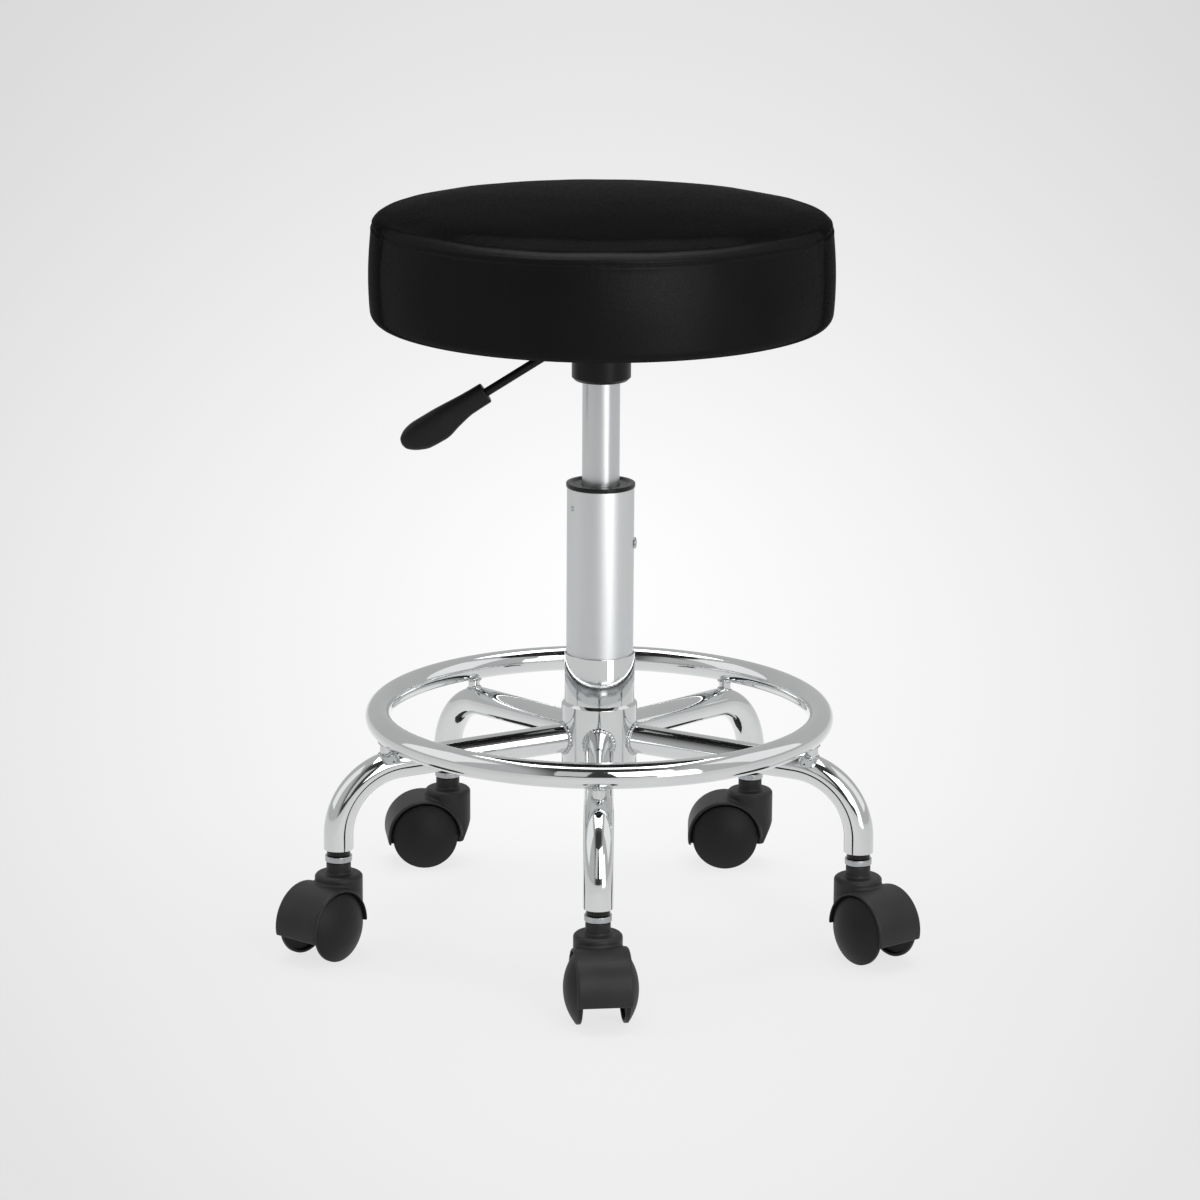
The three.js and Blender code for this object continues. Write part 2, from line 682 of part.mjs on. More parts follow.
function releasePin() {
  const flangeAt = cylinderTop - VALVE_DEPTH - SLIP;
  return turned([
    [0, flangeAt - PIN_FLANGE],
    [PIN_FLANGE_RADIUS, flangeAt - PIN_FLANGE],
    [PIN_FLANGE_RADIUS, flangeAt],
    [PIN_RADIUS, flangeAt],
    [PIN_RADIUS, pinTop],
    [0, pinTop],
  ], PIN_SIDES);
}

// Seat plate and lever

function seatPlate() {
  const sheet = roundedSquare(PLATE_SIZE, PLATE_CORNER, plateBottom, boardBottom);
  const socket = turned([
    [0, socketBottom],
    [SOCKET_RADIUS - SOCKET_EDGE, socketBottom],
    [SOCKET_RADIUS, socketBottom + SOCKET_EDGE],
    [SOCKET_RADIUS, boardBottom],
    [0, boardBottom],
  ], COLUMN_SIDES);
  const taperBore = turned([
    [0, socketBottom],
    [boreRadius, socketBottom],
    [boreRadius - CYLINDER_TAPER, cylinderTop],
    [0, cylinderTop],
  ], COLUMN_SIDES);
  const mouth = rod(boreRadius, socketBottom - OVERRUN, socketBottom, COLUMN_SIDES);
  const chamber = rod(CHAMBER_RADIUS, cylinderTop - OVERRUN, boardBottom + OVERRUN, COLUMN_SIDES);
  const slotLength = SOCKET_RADIUS + OVERRUN;
  const slotSize = 2 * (LEVER_ROD_RADIUS + SLOT_PLAY);
  const slot = box(slotLength, 2 * (LEVER_ROD_RADIUS + SLIP), slotSize, -slotLength / 2, 0, leverHeight);
  const pinHole = crossRod(LEVER_PIN_RADIUS + SLIP, 2 * SOCKET_RADIUS, leverPivotX, leverHeight, PIN_SIDES);
  let solid = sheet.add(socket).subtract(taperBore).subtract(mouth).subtract(chamber)
    .subtract(slot).subtract(pinHole);
  const hole = rod(BOLT_RADIUS + SLIP, plateBottom - OVERRUN, boardBottom + OVERRUN, PIN_SIDES);
  for (const [x, y] of boltPlaces) solid = solid.subtract(hole.translate([x, y, 0]));
  return solid;
}

const halfSpacing = BOLT_SPACING / 2;
const boltPlaces = [
  [halfSpacing, halfSpacing],
  [-halfSpacing, halfSpacing],
  [-halfSpacing, -halfSpacing],
  [halfSpacing, -halfSpacing],
];

// The rod runs level through the socket's slot, then slants down to the handle
const leverDrop = radians(LEVER_DROP_DEG);
const slantDirection = [-Math.cos(leverDrop), -Math.sin(leverDrop)];
const bendEnd = [
  -LEVER_LEVEL_RUN - LEVER_BEND_RADIUS * Math.sin(leverDrop),
  leverHeight - LEVER_BEND_RADIUS * (1 - Math.cos(leverDrop)),
];
const rodEnd = [
  bendEnd[0] + LEVER_SLANT_RUN * slantDirection[0],
  bendEnd[1] + LEVER_SLANT_RUN * slantDirection[1],
];

function leverRod() {
  const centreZ = leverHeight - LEVER_BEND_RADIUS;
  const quarter = Math.PI / 2;
  const bend = arcPoints(-LEVER_LEVEL_RUN, centreZ, LEVER_BEND_RADIUS, quarter, quarter + leverDrop,
    LEVER_BEND_STEPS);
  const path = [[LEVER_TIP_REACH, leverHeight], ...bend, rodEnd];
  const pinHole = crossRod(LEVER_PIN_RADIUS + SLIP, 2 * SOCKET_RADIUS, leverPivotX, leverHeight, PIN_SIDES);
  return swept(path, LEVER_ROD_RADIUS, PIN_SIDES).subtract(pinHole);
}

function leverPin() {
  return crossRod(LEVER_PIN_RADIUS, LEVER_PIN_LENGTH, leverPivotX, leverHeight, PIN_SIDES);
}

// The handle is lofted through oval sections along the slant: a stub over the rod, then a
// paddle with a round end. Each row gives the share of the length, width, thickness and sag.
const handleShares = [
  [0, 0.68, 0.8, 0],
  [0.22, 0.7, 0.86, 0],
  [0.4, 0.84, 0.9, 0.4],
  [0.58, 1, 1, 1],
  [0.76, 0.98, 1, 0.8],
  [0.9, 0.74, 0.84, 0.2],
  [0.97, 0.46, 0.6, 0],
  [1, 0.2, 0.3, 0],
];

function leverHandle() {
  const round = (value) => Math.sign(value) * Math.abs(value) ** HANDLE_ROUNDNESS;
  const position = [];
  for (const [along, wide, thick, sag] of handleShares) {
    for (let k = 0; k < HANDLE_SIDES; k += 1) {
      const angle = 2 * Math.PI * (k / HANDLE_SIDES);
      const lift = round(Math.cos(angle)) * wide * (HANDLE_WIDTH / 2) - sag * HANDLE_SAG;
      const side = round(Math.sin(angle)) * thick * (HANDLE_THICKNESS / 2);
      position.push(lift, side, along * HANDLE_LENGTH);
    }
  }
  const bore = rod(LEVER_ROD_RADIUS + SLIP, -OVERRUN, HANDLE_GRIP + SLIP, PIN_SIDES);
  const gripStart = LEVER_SLANT_RUN - HANDLE_GRIP;
  return skinned(position, handleShares.length, HANDLE_SIDES).subtract(bore)
    .rotate([0, -90 - LEVER_DROP_DEG, 0])
    .translate([bendEnd[0] + gripStart * slantDirection[0], 0, bendEnd[1] + gripStart * slantDirection[1]]);
}

// Seat

// Where the crown's outline has its corners, from the rim inward
const coverCrownShares = [0.8, 0.5];
const foamCrownShares = [0.6];

// The cushion's outline at a depth below the cover's surface, from the side's foot to the crown
function cushionOutline(inset) {
  const top = seatBottom + SEAT_SIDE;
  const wall = SEAT_RADIUS - SEAT_DRAW_IN;
  const bottomRound = SEAT_BOTTOM_ROUND;
  const roundSteps = inset > 0 ? FOAM_ROUND_STEPS : COVER_ROUND_STEPS;
  const foot = arcPoints(wall - bottomRound, seatBottom + bottomRound, bottomRound - inset,
    -Math.PI / 2, 0, roundSteps);
  const seam = top - SEAM_BELOW_TOP;
  const seamHalf = SEAM_WIDTH / 2;
  const topRound = SEAT_TOP_ROUND;
  const shoulderStart = Math.asin((topRound - SEAM_BELOW_TOP + seamHalf) / topRound);
  const shoulder = arcPoints(wall - topRound, top - topRound, topRound - inset,
    shoulderStart, Math.PI / 2, roundSteps);
  const middle = [SEAT_RADIUS - inset, (foot[roundSteps][1] + seam - seamHalf) / 2];
  const groove = inset > 0 ? [] : [[wall, seam - seamHalf], [wall - SEAM_DEPTH, seam]];
  const crownShares = inset > 0 ? foamCrownShares : coverCrownShares;
  const crownRadius = wall - topRound;
  const crown = crownShares.map((share) => (
    [crownRadius * share, top - inset + SEAT_CROWN * (1 - share ** 2)]));
  return [...foot, middle, ...groove, ...shoulder, ...crown, [0, top - inset + SEAT_CROWN]];
}

function seatCover() {
  const outer = cushionOutline(0);
  const inner = cushionOutline(COVER_THICKNESS);
  const lipRadius = SEAT_RADIUS - BOARD_INSET - COVER_LIP;
  return turned([
    ...[...inner].reverse(),
    [lipRadius, seatBottom + COVER_THICKNESS],
    [lipRadius, seatBottom],
    ...outer,
  ], SEAT_SIDES);
}

function seatFoam() {
  const inner = cushionOutline(COVER_THICKNESS + SLIP);
  const boardEdge = SEAT_RADIUS - BOARD_INSET + SLIP;
  const boardTop = boardBottom + BOARD_THICKNESS;
  return turned([[0, boardTop], [boardEdge, boardTop], [boardEdge, boardBottom], ...inner], SEAT_SIDES);
}

function seatBoard() {
  const radius = SEAT_RADIUS - BOARD_INSET;
  let solid = rod(radius, boardBottom, boardBottom + BOARD_THICKNESS, SEAT_SIDES);
  const hole = rod(BOLT_RADIUS + SLIP, boardBottom - OVERRUN, boardBottom + BOLT_GRIP + SLIP, PIN_SIDES);
  for (const [x, y] of boltPlaces) solid = solid.subtract(hole.translate([x, y, 0]));
  return solid;
}

function seatBolt() {
  const head = rod(BOLT_HEAD_RADIUS, plateBottom - BOLT_HEAD, plateBottom, HEX_SIDES);
  return head.add(rod(BOLT_RADIUS, plateBottom - BOLT_HEAD / 2, boardBottom + BOLT_GRIP, PIN_SIDES));
}

// Assembly

// Where each leg points, and which way its caster trails, in degrees about +Z from +X
const legTurn = 360 / LEG_COUNT;
const casterPlaces = [
  ['front', -90, -83],
  ['right', -90 + legTurn, -51],
  ['back_right', -90 + 2 * legTurn, 179],
  ['back_left', -90 + 3 * legTurn, 187],
  ['left', -90 + 4 * legTurn, -129],
];
const legAzimuths = casterPlaces.map(([, azimuth]) => azimuth);

const stool = new THREE.Group();

for (const [place, azimuth, heading] of casterPlaces) {
  const arm = new THREE.Group();
  arm.rotation.z = radians(azimuth);
  const socket = piece(`stem_socket_${place}`, stemSocket(), blackNylon);
  socket.position.x = LEG_CIRCLE;
  const turnedCaster = caster(place);
  turnedCaster.position.x = LEG_CIRCLE;
  turnedCaster.rotation.z = radians(heading - azimuth);
  arm.add(piece(`leg_${place}`, leg(), chrome), socket, turnedCaster);
  stool.add(arm);
}

stool.add(
  piece('foot_ring', footRing(), chrome),
  piece('hub', hub(), chrome),
  piece('column_tube', columnTube(), satinSteel),
  piece('guide_bushing', guideBushing(), blackPlastic),
  piece('bushing_screw', bushingScrew(), plainSteel),
  piece('bearing_race_lower', race(lowerRaceBottom), plainSteel),
  piece('bearing_cage', ballCage(), plainSteel),
  piece('bearing_race_upper', race(upperRaceBottom), plainSteel),
  piece('piston_rod', pistonRod(), plainSteel),
  piece('retaining_clip', retainingClip(), plainSteel),
  piece('rubber_buffer', rubberBuffer(), rubber),
  piece('rod_gland', rodGland(), blackPlastic),
  piece('lift_cylinder', liftCylinder(), satinSteel),
  piece('release_pin', releasePin(), plainSteel),
  piece('seat_plate', seatPlate(), blackSteel),
  piece('lever_rod', leverRod(), blackSteel),
  piece('lever_pin', leverPin(), plainSteel),
  piece('lever_handle', leverHandle(), blackPlastic),
  piece('seat_board', seatBoard(), plywood),
  piece('seat_foam', seatFoam(), foam),
  piece('seat_cover', seatCover(), leatherette),
);
boltPlaces.forEach(([x, y], i) => {
  const bolt = piece(`seat_bolt_${i + 1}`, seatBolt(), plainSteel);
  bolt.position.set(x, y, 0);
  stool.add(bolt);
});

// The origin lies on the floor, in the middle of the stool's footprint
const reach = new THREE.Box3().setFromObject(stool, true);
const middle = reach.getCenter(new THREE.Vector3());
stool.position.set(-middle.x, -middle.y, -reach.min.z);

export default stool;
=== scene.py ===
# %% [markdown]
# This lesson dresses a rolling stool for its portrait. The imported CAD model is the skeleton: it
# says where every piece sits and how it moves. Blender adds what a solid modeller leaves out:
# smooth chrome, weld beads, moulded plastic, and a cushion that is blown up like a real one.
# The stool is loaded first, and each later cell builds one piece around it, in metres.

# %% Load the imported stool
from math import acos, asin, atan2, copysign, cos, exp, hypot, pi, radians, sin, sqrt, tan

import bmesh
import bpy
import numpy as np
from mathutils import Matrix, Vector, noise
from mathutils.kdtree import KDTree


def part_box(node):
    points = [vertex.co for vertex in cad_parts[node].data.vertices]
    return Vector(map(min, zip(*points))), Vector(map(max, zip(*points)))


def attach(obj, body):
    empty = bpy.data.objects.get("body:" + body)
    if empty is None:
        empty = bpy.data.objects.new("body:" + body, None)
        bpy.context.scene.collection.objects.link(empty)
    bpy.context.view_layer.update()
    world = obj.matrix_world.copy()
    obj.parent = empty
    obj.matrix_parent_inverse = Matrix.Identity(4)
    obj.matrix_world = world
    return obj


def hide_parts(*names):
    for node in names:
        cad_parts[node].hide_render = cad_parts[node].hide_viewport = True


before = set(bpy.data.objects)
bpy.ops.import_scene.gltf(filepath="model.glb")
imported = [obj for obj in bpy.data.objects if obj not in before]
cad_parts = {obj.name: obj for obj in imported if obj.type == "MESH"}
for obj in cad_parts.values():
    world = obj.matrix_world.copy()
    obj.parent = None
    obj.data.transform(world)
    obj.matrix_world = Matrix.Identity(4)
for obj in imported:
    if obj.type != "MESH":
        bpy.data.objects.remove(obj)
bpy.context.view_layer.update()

# %% [markdown]
# The camera comes early, right after the stool. A product shot like
# this is taken from a few metres away with a long lens, so the stool's ring stays a slim ellipse.
# The camera stands about three and a half metres in front of the stool, at chest height, and
# looks down a little. The turn round its own axis is the small tilt of a hand-held camera.

# %% Camera
MM = 0.001
LENS_MM = 143.2
CAMERA_DISTANCE = 3.46237
CAMERA_HEIGHT = 1.12665
CAMERA_PITCH_DEG = 14.126
CAMERA_ROLL_DEG = 0.351
CLIP_NEAR, CLIP_FAR = 0.1, 100


def middle(node):
    """The middle of a CAD node's box."""
    low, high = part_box(node)
    return (low + high) / 2


def extent(node):
    """The size of a CAD node's box."""
    low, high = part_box(node)
    return high - low


def linked(name, data):
    """A new object in the scene."""
    thing = bpy.data.objects.new(name, data)
    bpy.context.scene.collection.objects.link(thing)
    return thing


axis = middle("column_tube")
axis.z = 0
camera = linked("camera", bpy.data.cameras.new("camera"))
camera.data.lens = LENS_MM
camera.data.clip_start, camera.data.clip_end = CLIP_NEAR, CLIP_FAR
camera.matrix_world = (Matrix.Translation((axis.x, axis.y - CAMERA_DISTANCE, CAMERA_HEIGHT))
                       @ Matrix.Rotation(radians(90 - CAMERA_PITCH_DEG), 4, "X")
                       @ Matrix.Rotation(radians(CAMERA_ROLL_DEG), 4, "Z"))
bpy.context.scene.camera = camera
print("lift axis at", [round(v, 4) for v in axis])

# %% [markdown]
# Most of the stool is turned or bent from tube, so one helper does nearly all the shaping: it
# skins a surface over a row of rings, like a tailor laying cloth over hoops. A turned piece is a
# stack of circles, a bent tube is a row of circles along a path, and a moulded handle is a row of
# ovals. Chrome shows every dent in a mesh, so the rings are fine and the corners are rounded.

# %% Helpers: skins, turned pieces and bent tubes
FINE_SIDES = 96
TUBE_SIDES = 48
PIN_SIDES = 32
ROUND_STEPS = 5
MOST_OF_SIDE = 0.45
SHARP_DEG = 38
STRAIGHT_DEG = 170
MERGE = 1e-7
POINTED, BLUNT = 0.1 * MM, 0.2 * MM


def span(start, end, steps):
    """Even steps from start to end, both included."""
    return [start + (end - start) * (k / steps) for k in range(steps + 1)]


def turns(count):
    """The angles of a full turn in equal steps."""
    return span(0, 2 * pi, count)[:-1]


def soften(mesh, degrees=SHARP_DEG):
    mesh.shade_smooth()
    mesh.set_sharp_from_angle(angle=radians(degrees))


def mesh_from(name, points, faces):
    """A tidy mesh with its faces pointing out and its creases kept sharp."""
    mesh = bpy.data.meshes.new(name)
    mesh.from_pydata([tuple(p) for p in points], [], faces)
    work = bmesh.new()
    work.from_mesh(mesh)
    bmesh.ops.remove_doubles(work, verts=work.verts, dist=MERGE)
    bmesh.ops.dissolve_degenerate(work, edges=work.edges, dist=MERGE)
    bmesh.ops.recalc_face_normals(work, faces=work.faces)
    work.to_mesh(mesh)
    work.free()
    soften(mesh)
    return mesh


def skin(rings, looped=False):
    """Points and faces of a surface over rings of equal count, capped unless the rings loop."""
    count, last = len(rings[0]), len(rings) - 1
    points = [p for ring in rings for p in ring]
    faces = []
    for i in range(last + looped):
        here, there = i * count, (i + 1) % len(rings) * count
        faces += [(here + k, here + (k + 1) % count, there + (k + 1) % count, there + k)
                  for k in range(count)]
    if not looped:
        faces += [tuple(range(count)), tuple(last * count + k for k in range(count))]
    return points, faces


def rounded(outline, radius, closed=True, steps=ROUND_STEPS):
    """The outline with its corners turned into small arcs, limited by the sides they sit between."""
    count = len(outline)
    result = []
    for i, corner in enumerate(outline):
        if not closed and i in (0, count - 1):
            result.append(tuple(corner))
            continue
        here = Vector(corner)
        before = Vector(outline[i - 1]) - here
        after = Vector(outline[(i + 1) % count]) - here
        turn = before.angle(after)
        if turn > radians(STRAIGHT_DEG):
            result.append(tuple(here))
            continue
        reach = min(radius / tan(turn / 2), MOST_OF_SIDE * min(before.length, after.length))
        start, end = here + before.normalized() * reach, here + after.normalized() * reach
        for t in span(0, 1, steps):
            result.append(tuple(start * (1 - t) ** 2 + here * 2 * t * (1 - t) + end * t ** 2))
    return result


def turned(name, profile, sides=FINE_SIDES, looped=True, edge=0.5 * MM, about=None):
    """A piece turned on a lathe. The profile is a list of (radius, height)."""
    centre = axis if about is None else about
    rings = [[(centre.x + r * cos(a), centre.y + r * sin(a), centre.z + z) for a in turns(sides)]
             for r, z in rounded(profile, edge, closed=looped)]
    return mesh_from(name, *skin(rings, looped))


def stepped(*values):
    """A square-cornered profile, from its radii and heights in turn: radius, height, radius ..."""
    return [(values[i + i % 2], values[i + 1 - i % 2]) for i in range(len(values) - 1)]


def swept(name, path, radius, sides=TUBE_SIDES):
    """A bar along a path of 3D points. A list of radii gives each point its own."""
    points = [Vector(p) for p in path]
    radii = radius if isinstance(radius, list) else [radius] * len(points)
    looped = (points[0] - points[-1]).length < 1e-9
    if looped:
        points = points[:-1]
    rings, side = [], None
    for i, p in enumerate(points):
        before = points[i - 1] if looped or i else p
        after = points[(i + 1) % len(points)] if looped or i + 1 < len(points) else p
        along = (after - before).normalized()
        if side is None:
            side = along.orthogonal().normalized()
        side = (side - along * side.dot(along)).normalized()
        other = along.cross(side)
        rings.append([tuple(p + (side * cos(a) + other * sin(a)) * radii[i]) for a in turns(sides)])
    return mesh_from(name, *skin(rings, looped))


def joined(name, meshes):
    """Several meshes as one, for a piece that is welded or moulded from several shapes."""
    work = bmesh.new()
    for mesh in meshes:
        work.from_mesh(mesh)
        bpy.data.meshes.remove(mesh)
    result = bpy.data.meshes.new(name)
    work.to_mesh(result)
    work.free()
    return result


def baked(thing):
    """The mesh of an object with its modifiers applied. The object and its old mesh go."""
    result = bpy.data.meshes.new_from_object(thing.evaluated_get(bpy.context.evaluated_depsgraph_get()))
    used = thing.data
    bpy.data.objects.remove(thing)
    bpy.data.meshes.remove(used)
    return result


def placed(name, mesh, body, finish, nodes=(), place=None):
    """Puts a mesh in the scene as a piece that rides on a body and stands for CAD nodes."""
    piece = linked(name, mesh)
    if place is not None:
        piece.matrix_world = place
    if not mesh.materials:
        mesh.materials.append(finish)
    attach(piece, body)
    if nodes:
        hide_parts(*nodes)
    return piece


def lathe(name, profile, body, finish, node, sides=FINE_SIDES, looped=True, edge=0.4 * MM):
    """A piece turned on the lift's axis and put in its place."""
    placed(name, turned(name, profile, sides, looped, edge), body, finish, [node])


def on_each(name, mesh, body, finish, node, where):
    """The same piece on every leg or caster. The braces in a name stand for the place."""
    for place in PLACES:
        nodes = [node.format(place)] if node else ()
        placed(name.format(place), mesh, body.format(place), finish, nodes, where(place))


def spot(x, y, z, turn=0, about="Z"):
    """A place with a turn about one of its axes."""
    return Matrix.Translation((x, y, z)) @ Matrix.Rotation(turn, 4, about)


def mm(length):
    """A length in millimetres, to read in print."""
    return round(length / MM, 1)


print("helpers ready: rings of", FINE_SIDES, "sides on turned pieces")

# %% [markdown]
# Every finish is a small graph of nodes. One helper adds a node, sets it up and plugs its inputs
# in, so that a finish reads from top to bottom like a recipe. Colours are written as the hex
# values that a paint chart would give, and are turned to the linear light that Blender mixes.
# Nearly every finish asks the same three things of a fine pattern of noise: a slight change of
# tone, a slight change of gloss, and a bump. So those have short helpers too.

# %% Helpers: colours and nodes
def colour(code):
    """An sRGB hex value as linear light."""
    parts = [int(code[i:i + 2], 16) / 255 for i in (1, 3, 5)]
    return (*(p / 12.92 if p <= 0.04045 else ((p + 0.055) / 1.055) ** 2.4 for p in parts), 1.0)


def plug(tree, node, inputs):
    """Sets a node's inputs, each to a value or to another node's output."""
    for name, value in inputs.items():
        if isinstance(value, bpy.types.NodeSocket):
            tree.links.new(value, node.inputs[name])
        else:
            node.inputs[name].default_value = value
    return node


def add(tree, kind, inputs={}, **settings):
    """One node: its settings, then its inputs."""
    node = tree.nodes.new("ShaderNode" + kind)
    for name, value in settings.items():
        setattr(node, name, value)
    return plug(tree, node, inputs)


def pattern(tree, where, millimetres, detail, **more):
    """Noise whose cells are so many millimetres wide."""
    return add(tree, "TexNoise", {
        "Vector": where, "Scale": 1 / (millimetres * MM), "Detail": detail, **more}).outputs["Fac"]


def blend(tree, value, stops):
    """A run of colours over a value."""
    node = add(tree, "ValToRGB", {"Fac": value})
    elements = node.color_ramp.elements
    while len(elements) < len(stops):
        elements.new(0.5)
    for element, (place, code) in zip(elements, stops):
        element.position, element.color = place, colour(code)
    return node.outputs["Color"]


def spread(tree, value, low, high, start=0.0, end=1.0, curve="LINEAR"):
    """A value's run from start to end drawn out over low to high."""
    return add(tree, "MapRange", {"Value": value, "From Min": start, "From Max": end,
                                  "To Min": low, "To Max": high}, interpolation_type=curve).outputs["Result"]


def bumps(tree, height, strength, millimetres):
    return add(tree, "Bump", {
        "Height": height, "Strength": strength, "Distance": millimetres * MM}).outputs["Normal"]


def combine(tree, operation, a, b=0.0):
    return add(tree, "Math", {0: a, 1: b}, operation=operation).outputs["Value"]


def stretched(tree, where, scale):
    return add(tree, "Mapping", {"Vector": where, "Scale": scale}).outputs["Vector"]


def finish(name):
    """A new material with its graph, its surface shader and the place on the piece."""
    material = bpy.data.materials.new(name)
    material.use_nodes = True
    tree = material.node_tree
    tree.nodes.clear()
    shader = add(tree, "BsdfPrincipled")
    add(tree, "OutputMaterial", {"Surface": shader.outputs["BSDF"]})
    return material, tree, shader, add(tree, "TexCoord").outputs["Object"]


def surface(name, patterns, tone=None, rough=None, bump=None, numbers={}):
    """A finish steered by patterns (millimetres, detail); tone, rough and bump name one each."""
    material, tree, shader, where = finish(name)
    noises = [pattern(tree, where, *p) for p in patterns]
    plug(tree, shader, numbers)
    if tone:
        plug(tree, shader, {"Base Color": blend(tree, noises[tone[0]], tone[1])})
    if rough:
        plug(tree, shader, {"Roughness": spread(tree, noises[rough[0]], *rough[1:])})
    if bump:
        plug(tree, shader, {"Normal": bumps(tree, noises[bump[0]], *bump[1:])})
    return material


print("node helpers ready: noise, ramps, ranges and bumps")

# %% [markdown]
# Chrome on tube is nickel and chromium plated over polished steel. It is cool and neutral. The
# polish leaves a faint ripple of some millimetres, and handling leaves a haze, so the roughness
# wanders a little instead of being one value. Small hardware is zinc plated: zinc is greyer than
# chrome and never quite even, which shows as a soft mottle in its tone and its gloss. A weld bead
# is plated with the tube, but stays duller, since the buffing wheel can't reach into its ripples.

# %% Finishes: plated steel
METAL = {"Metallic": 1.0}
chrome = surface("polished_chrome", [(9, 1.0), (45, 4.0)], tone=(1, [(0.3, "#d6d8d9"), (0.7, "#dddfdf")]),
                 rough=(1, 0.03, 0.085), bump=(0, 0.05, 0.1), numbers=METAL)
zinc = surface("zinc_plated_steel", [(3, 5.0)], tone=(0, [(0.3, "#a3a6a9"), (0.7, "#bcbec0")]),
               rough=(0, 0.2, 0.45), numbers=METAL)
weld = surface("chromed_weld_bead", [(1.2, 4.0)], tone=(0, [(0.35, "#a9abac"), (0.65, "#c9cbcb")]),
               rough=(0, 0.14, 0.34), bump=(0, 0.25, 0.15), numbers=METAL)
print("plated finishes:", chrome.name, zinc.name, weld.name)

# %% [markdown]
# The gas lift's tubes are ground and then thinly chromed. Grinding goes round the tube, so fine
# marks run round it and smear each reflection up and down: the tube shows clean upright bands of
# light and grey, with no picture of the room. The real marks are some hundredths of a millimetre
# apart, too fine to show, so they are drawn about ten times coarser.

# %% Finish: ground lift steel
GRIND_MARK_MM = 0.5
GRIND_HAZE_MM = 60
ROUND_THE_TUBE = (0.02, 0.02, 1.0)
QUARTER_TURN = 0.25


def ground_steel(name, tint, low, high, stretch):
    material, tree, shader, where = finish(name)
    marks = pattern(tree, stretched(tree, where, ROUND_THE_TUBE), GRIND_MARK_MM, 3.0)
    mixed = combine(tree, "MULTIPLY", marks, pattern(tree, where, GRIND_HAZE_MM, 3.0))
    around = add(tree, "Tangent", direction_type="RADIAL", axis="Z")
    plug(tree, shader, {
        **METAL, "Base Color": colour(tint), "Anisotropic": stretch, "Anisotropic Rotation": QUARTER_TURN,
        "Tangent": around.outputs["Tangent"], "Roughness": spread(tree, mixed, low, high, 0.1, 0.45),
        "Normal": bumps(tree, marks, 0.01, 0.01)})
    return material


column_steel = ground_steel("ground_chromed_column", "#d8dadb", 0.42, 0.48, 0.35)
cylinder_steel = ground_steel("ground_chromed_cylinder", "#cccecf", 0.3, 0.36, 0.4)
print("ground finishes:", column_steel.name, cylinder_steel.name)

# %% [markdown]
# Casters, the lever handle and the small collars are moulded plastic. The mould is etched by
# sparks to a fine even grain, which turns gloss into a soft sheen and hides scratches. Nylon on
# the casters is a dark grey, and the ABS of the handle is nearly black. The real grain is about
# a tenth of a millimetre, and is drawn some times coarser so that it shows. The seat plate and
# the lever's rod are powder coated: the powder flows out to a slight orange peel, a ripple of
# one or two millimetres under a satin gloss.

# %% Finishes: moulded plastic, powder coat and rubber
CLOUD_MM = 25


def moulded_plastic(name, dark, pale, grain_mm, depth_mm, rough_low, rough_high):
    return surface(name, [(grain_mm, 3.0), (CLOUD_MM, 2.0)], tone=(1, [(0.3, dark), (0.7, pale)]),
                   rough=(0, rough_low, rough_high), bump=(0, 0.5, depth_mm),
                   numbers={"IOR": 1.5, "Specular IOR Level": 0.25})


hood_nylon = moulded_plastic("moulded_nylon_hood", "#1d1d1d", "#242424", 0.7, 0.06, 0.4, 0.55)
wheel_nylon = moulded_plastic("moulded_nylon_wheel", "#0f0f0f", "#131313", 0.9, 0.05, 0.46, 0.6)
handle_abs = moulded_plastic("moulded_abs_handle", "#090909", "#0d0d0d", 0.8, 0.06, 0.34, 0.5)
collar_plastic = moulded_plastic("moulded_acetal_collar", "#0c0c0c", "#121212", 1.2, 0.03, 0.22, 0.34)
black_steel = surface("black_powder_coat", [(1.6, 1.0)], rough=(0, 0.3, 0.42), bump=(0, 0.3, 0.08), numbers={
    "Base Color": colour("#0a0a0a"), "IOR": 1.5, "Specular IOR Level": 0.2})
rubber = surface("black_buffer_rubber", [(2, 4.0)], tone=(0, [(0.3, "#161616"), (0.8, "#242424")]),
                 numbers={"Roughness": 0.75})
print("plastic finishes:", hood_nylon.name, wheel_nylon.name, handle_abs.name, collar_plastic.name)

# %% [markdown]
# The cover is leatherette: knitted cloth with a skin of black PVC, pressed between rollers to
# look like hide. The press leaves small pebbles with creases between them. Real pebbles are about
# a millimetre wide; here they are two, so that the eye still reads them from three metres. The
# creases are a touch rougher than the pebbles' tops, which are polished by use. Seen at a slant,
# the pebbles hide each other's glossy tops, so the sheen fades there instead of growing.

# %% Finish: black leatherette
PEBBLE_MM = 2.0
PEBBLE_WARP = 0.006
PEBBLE_CREASE = 0.28


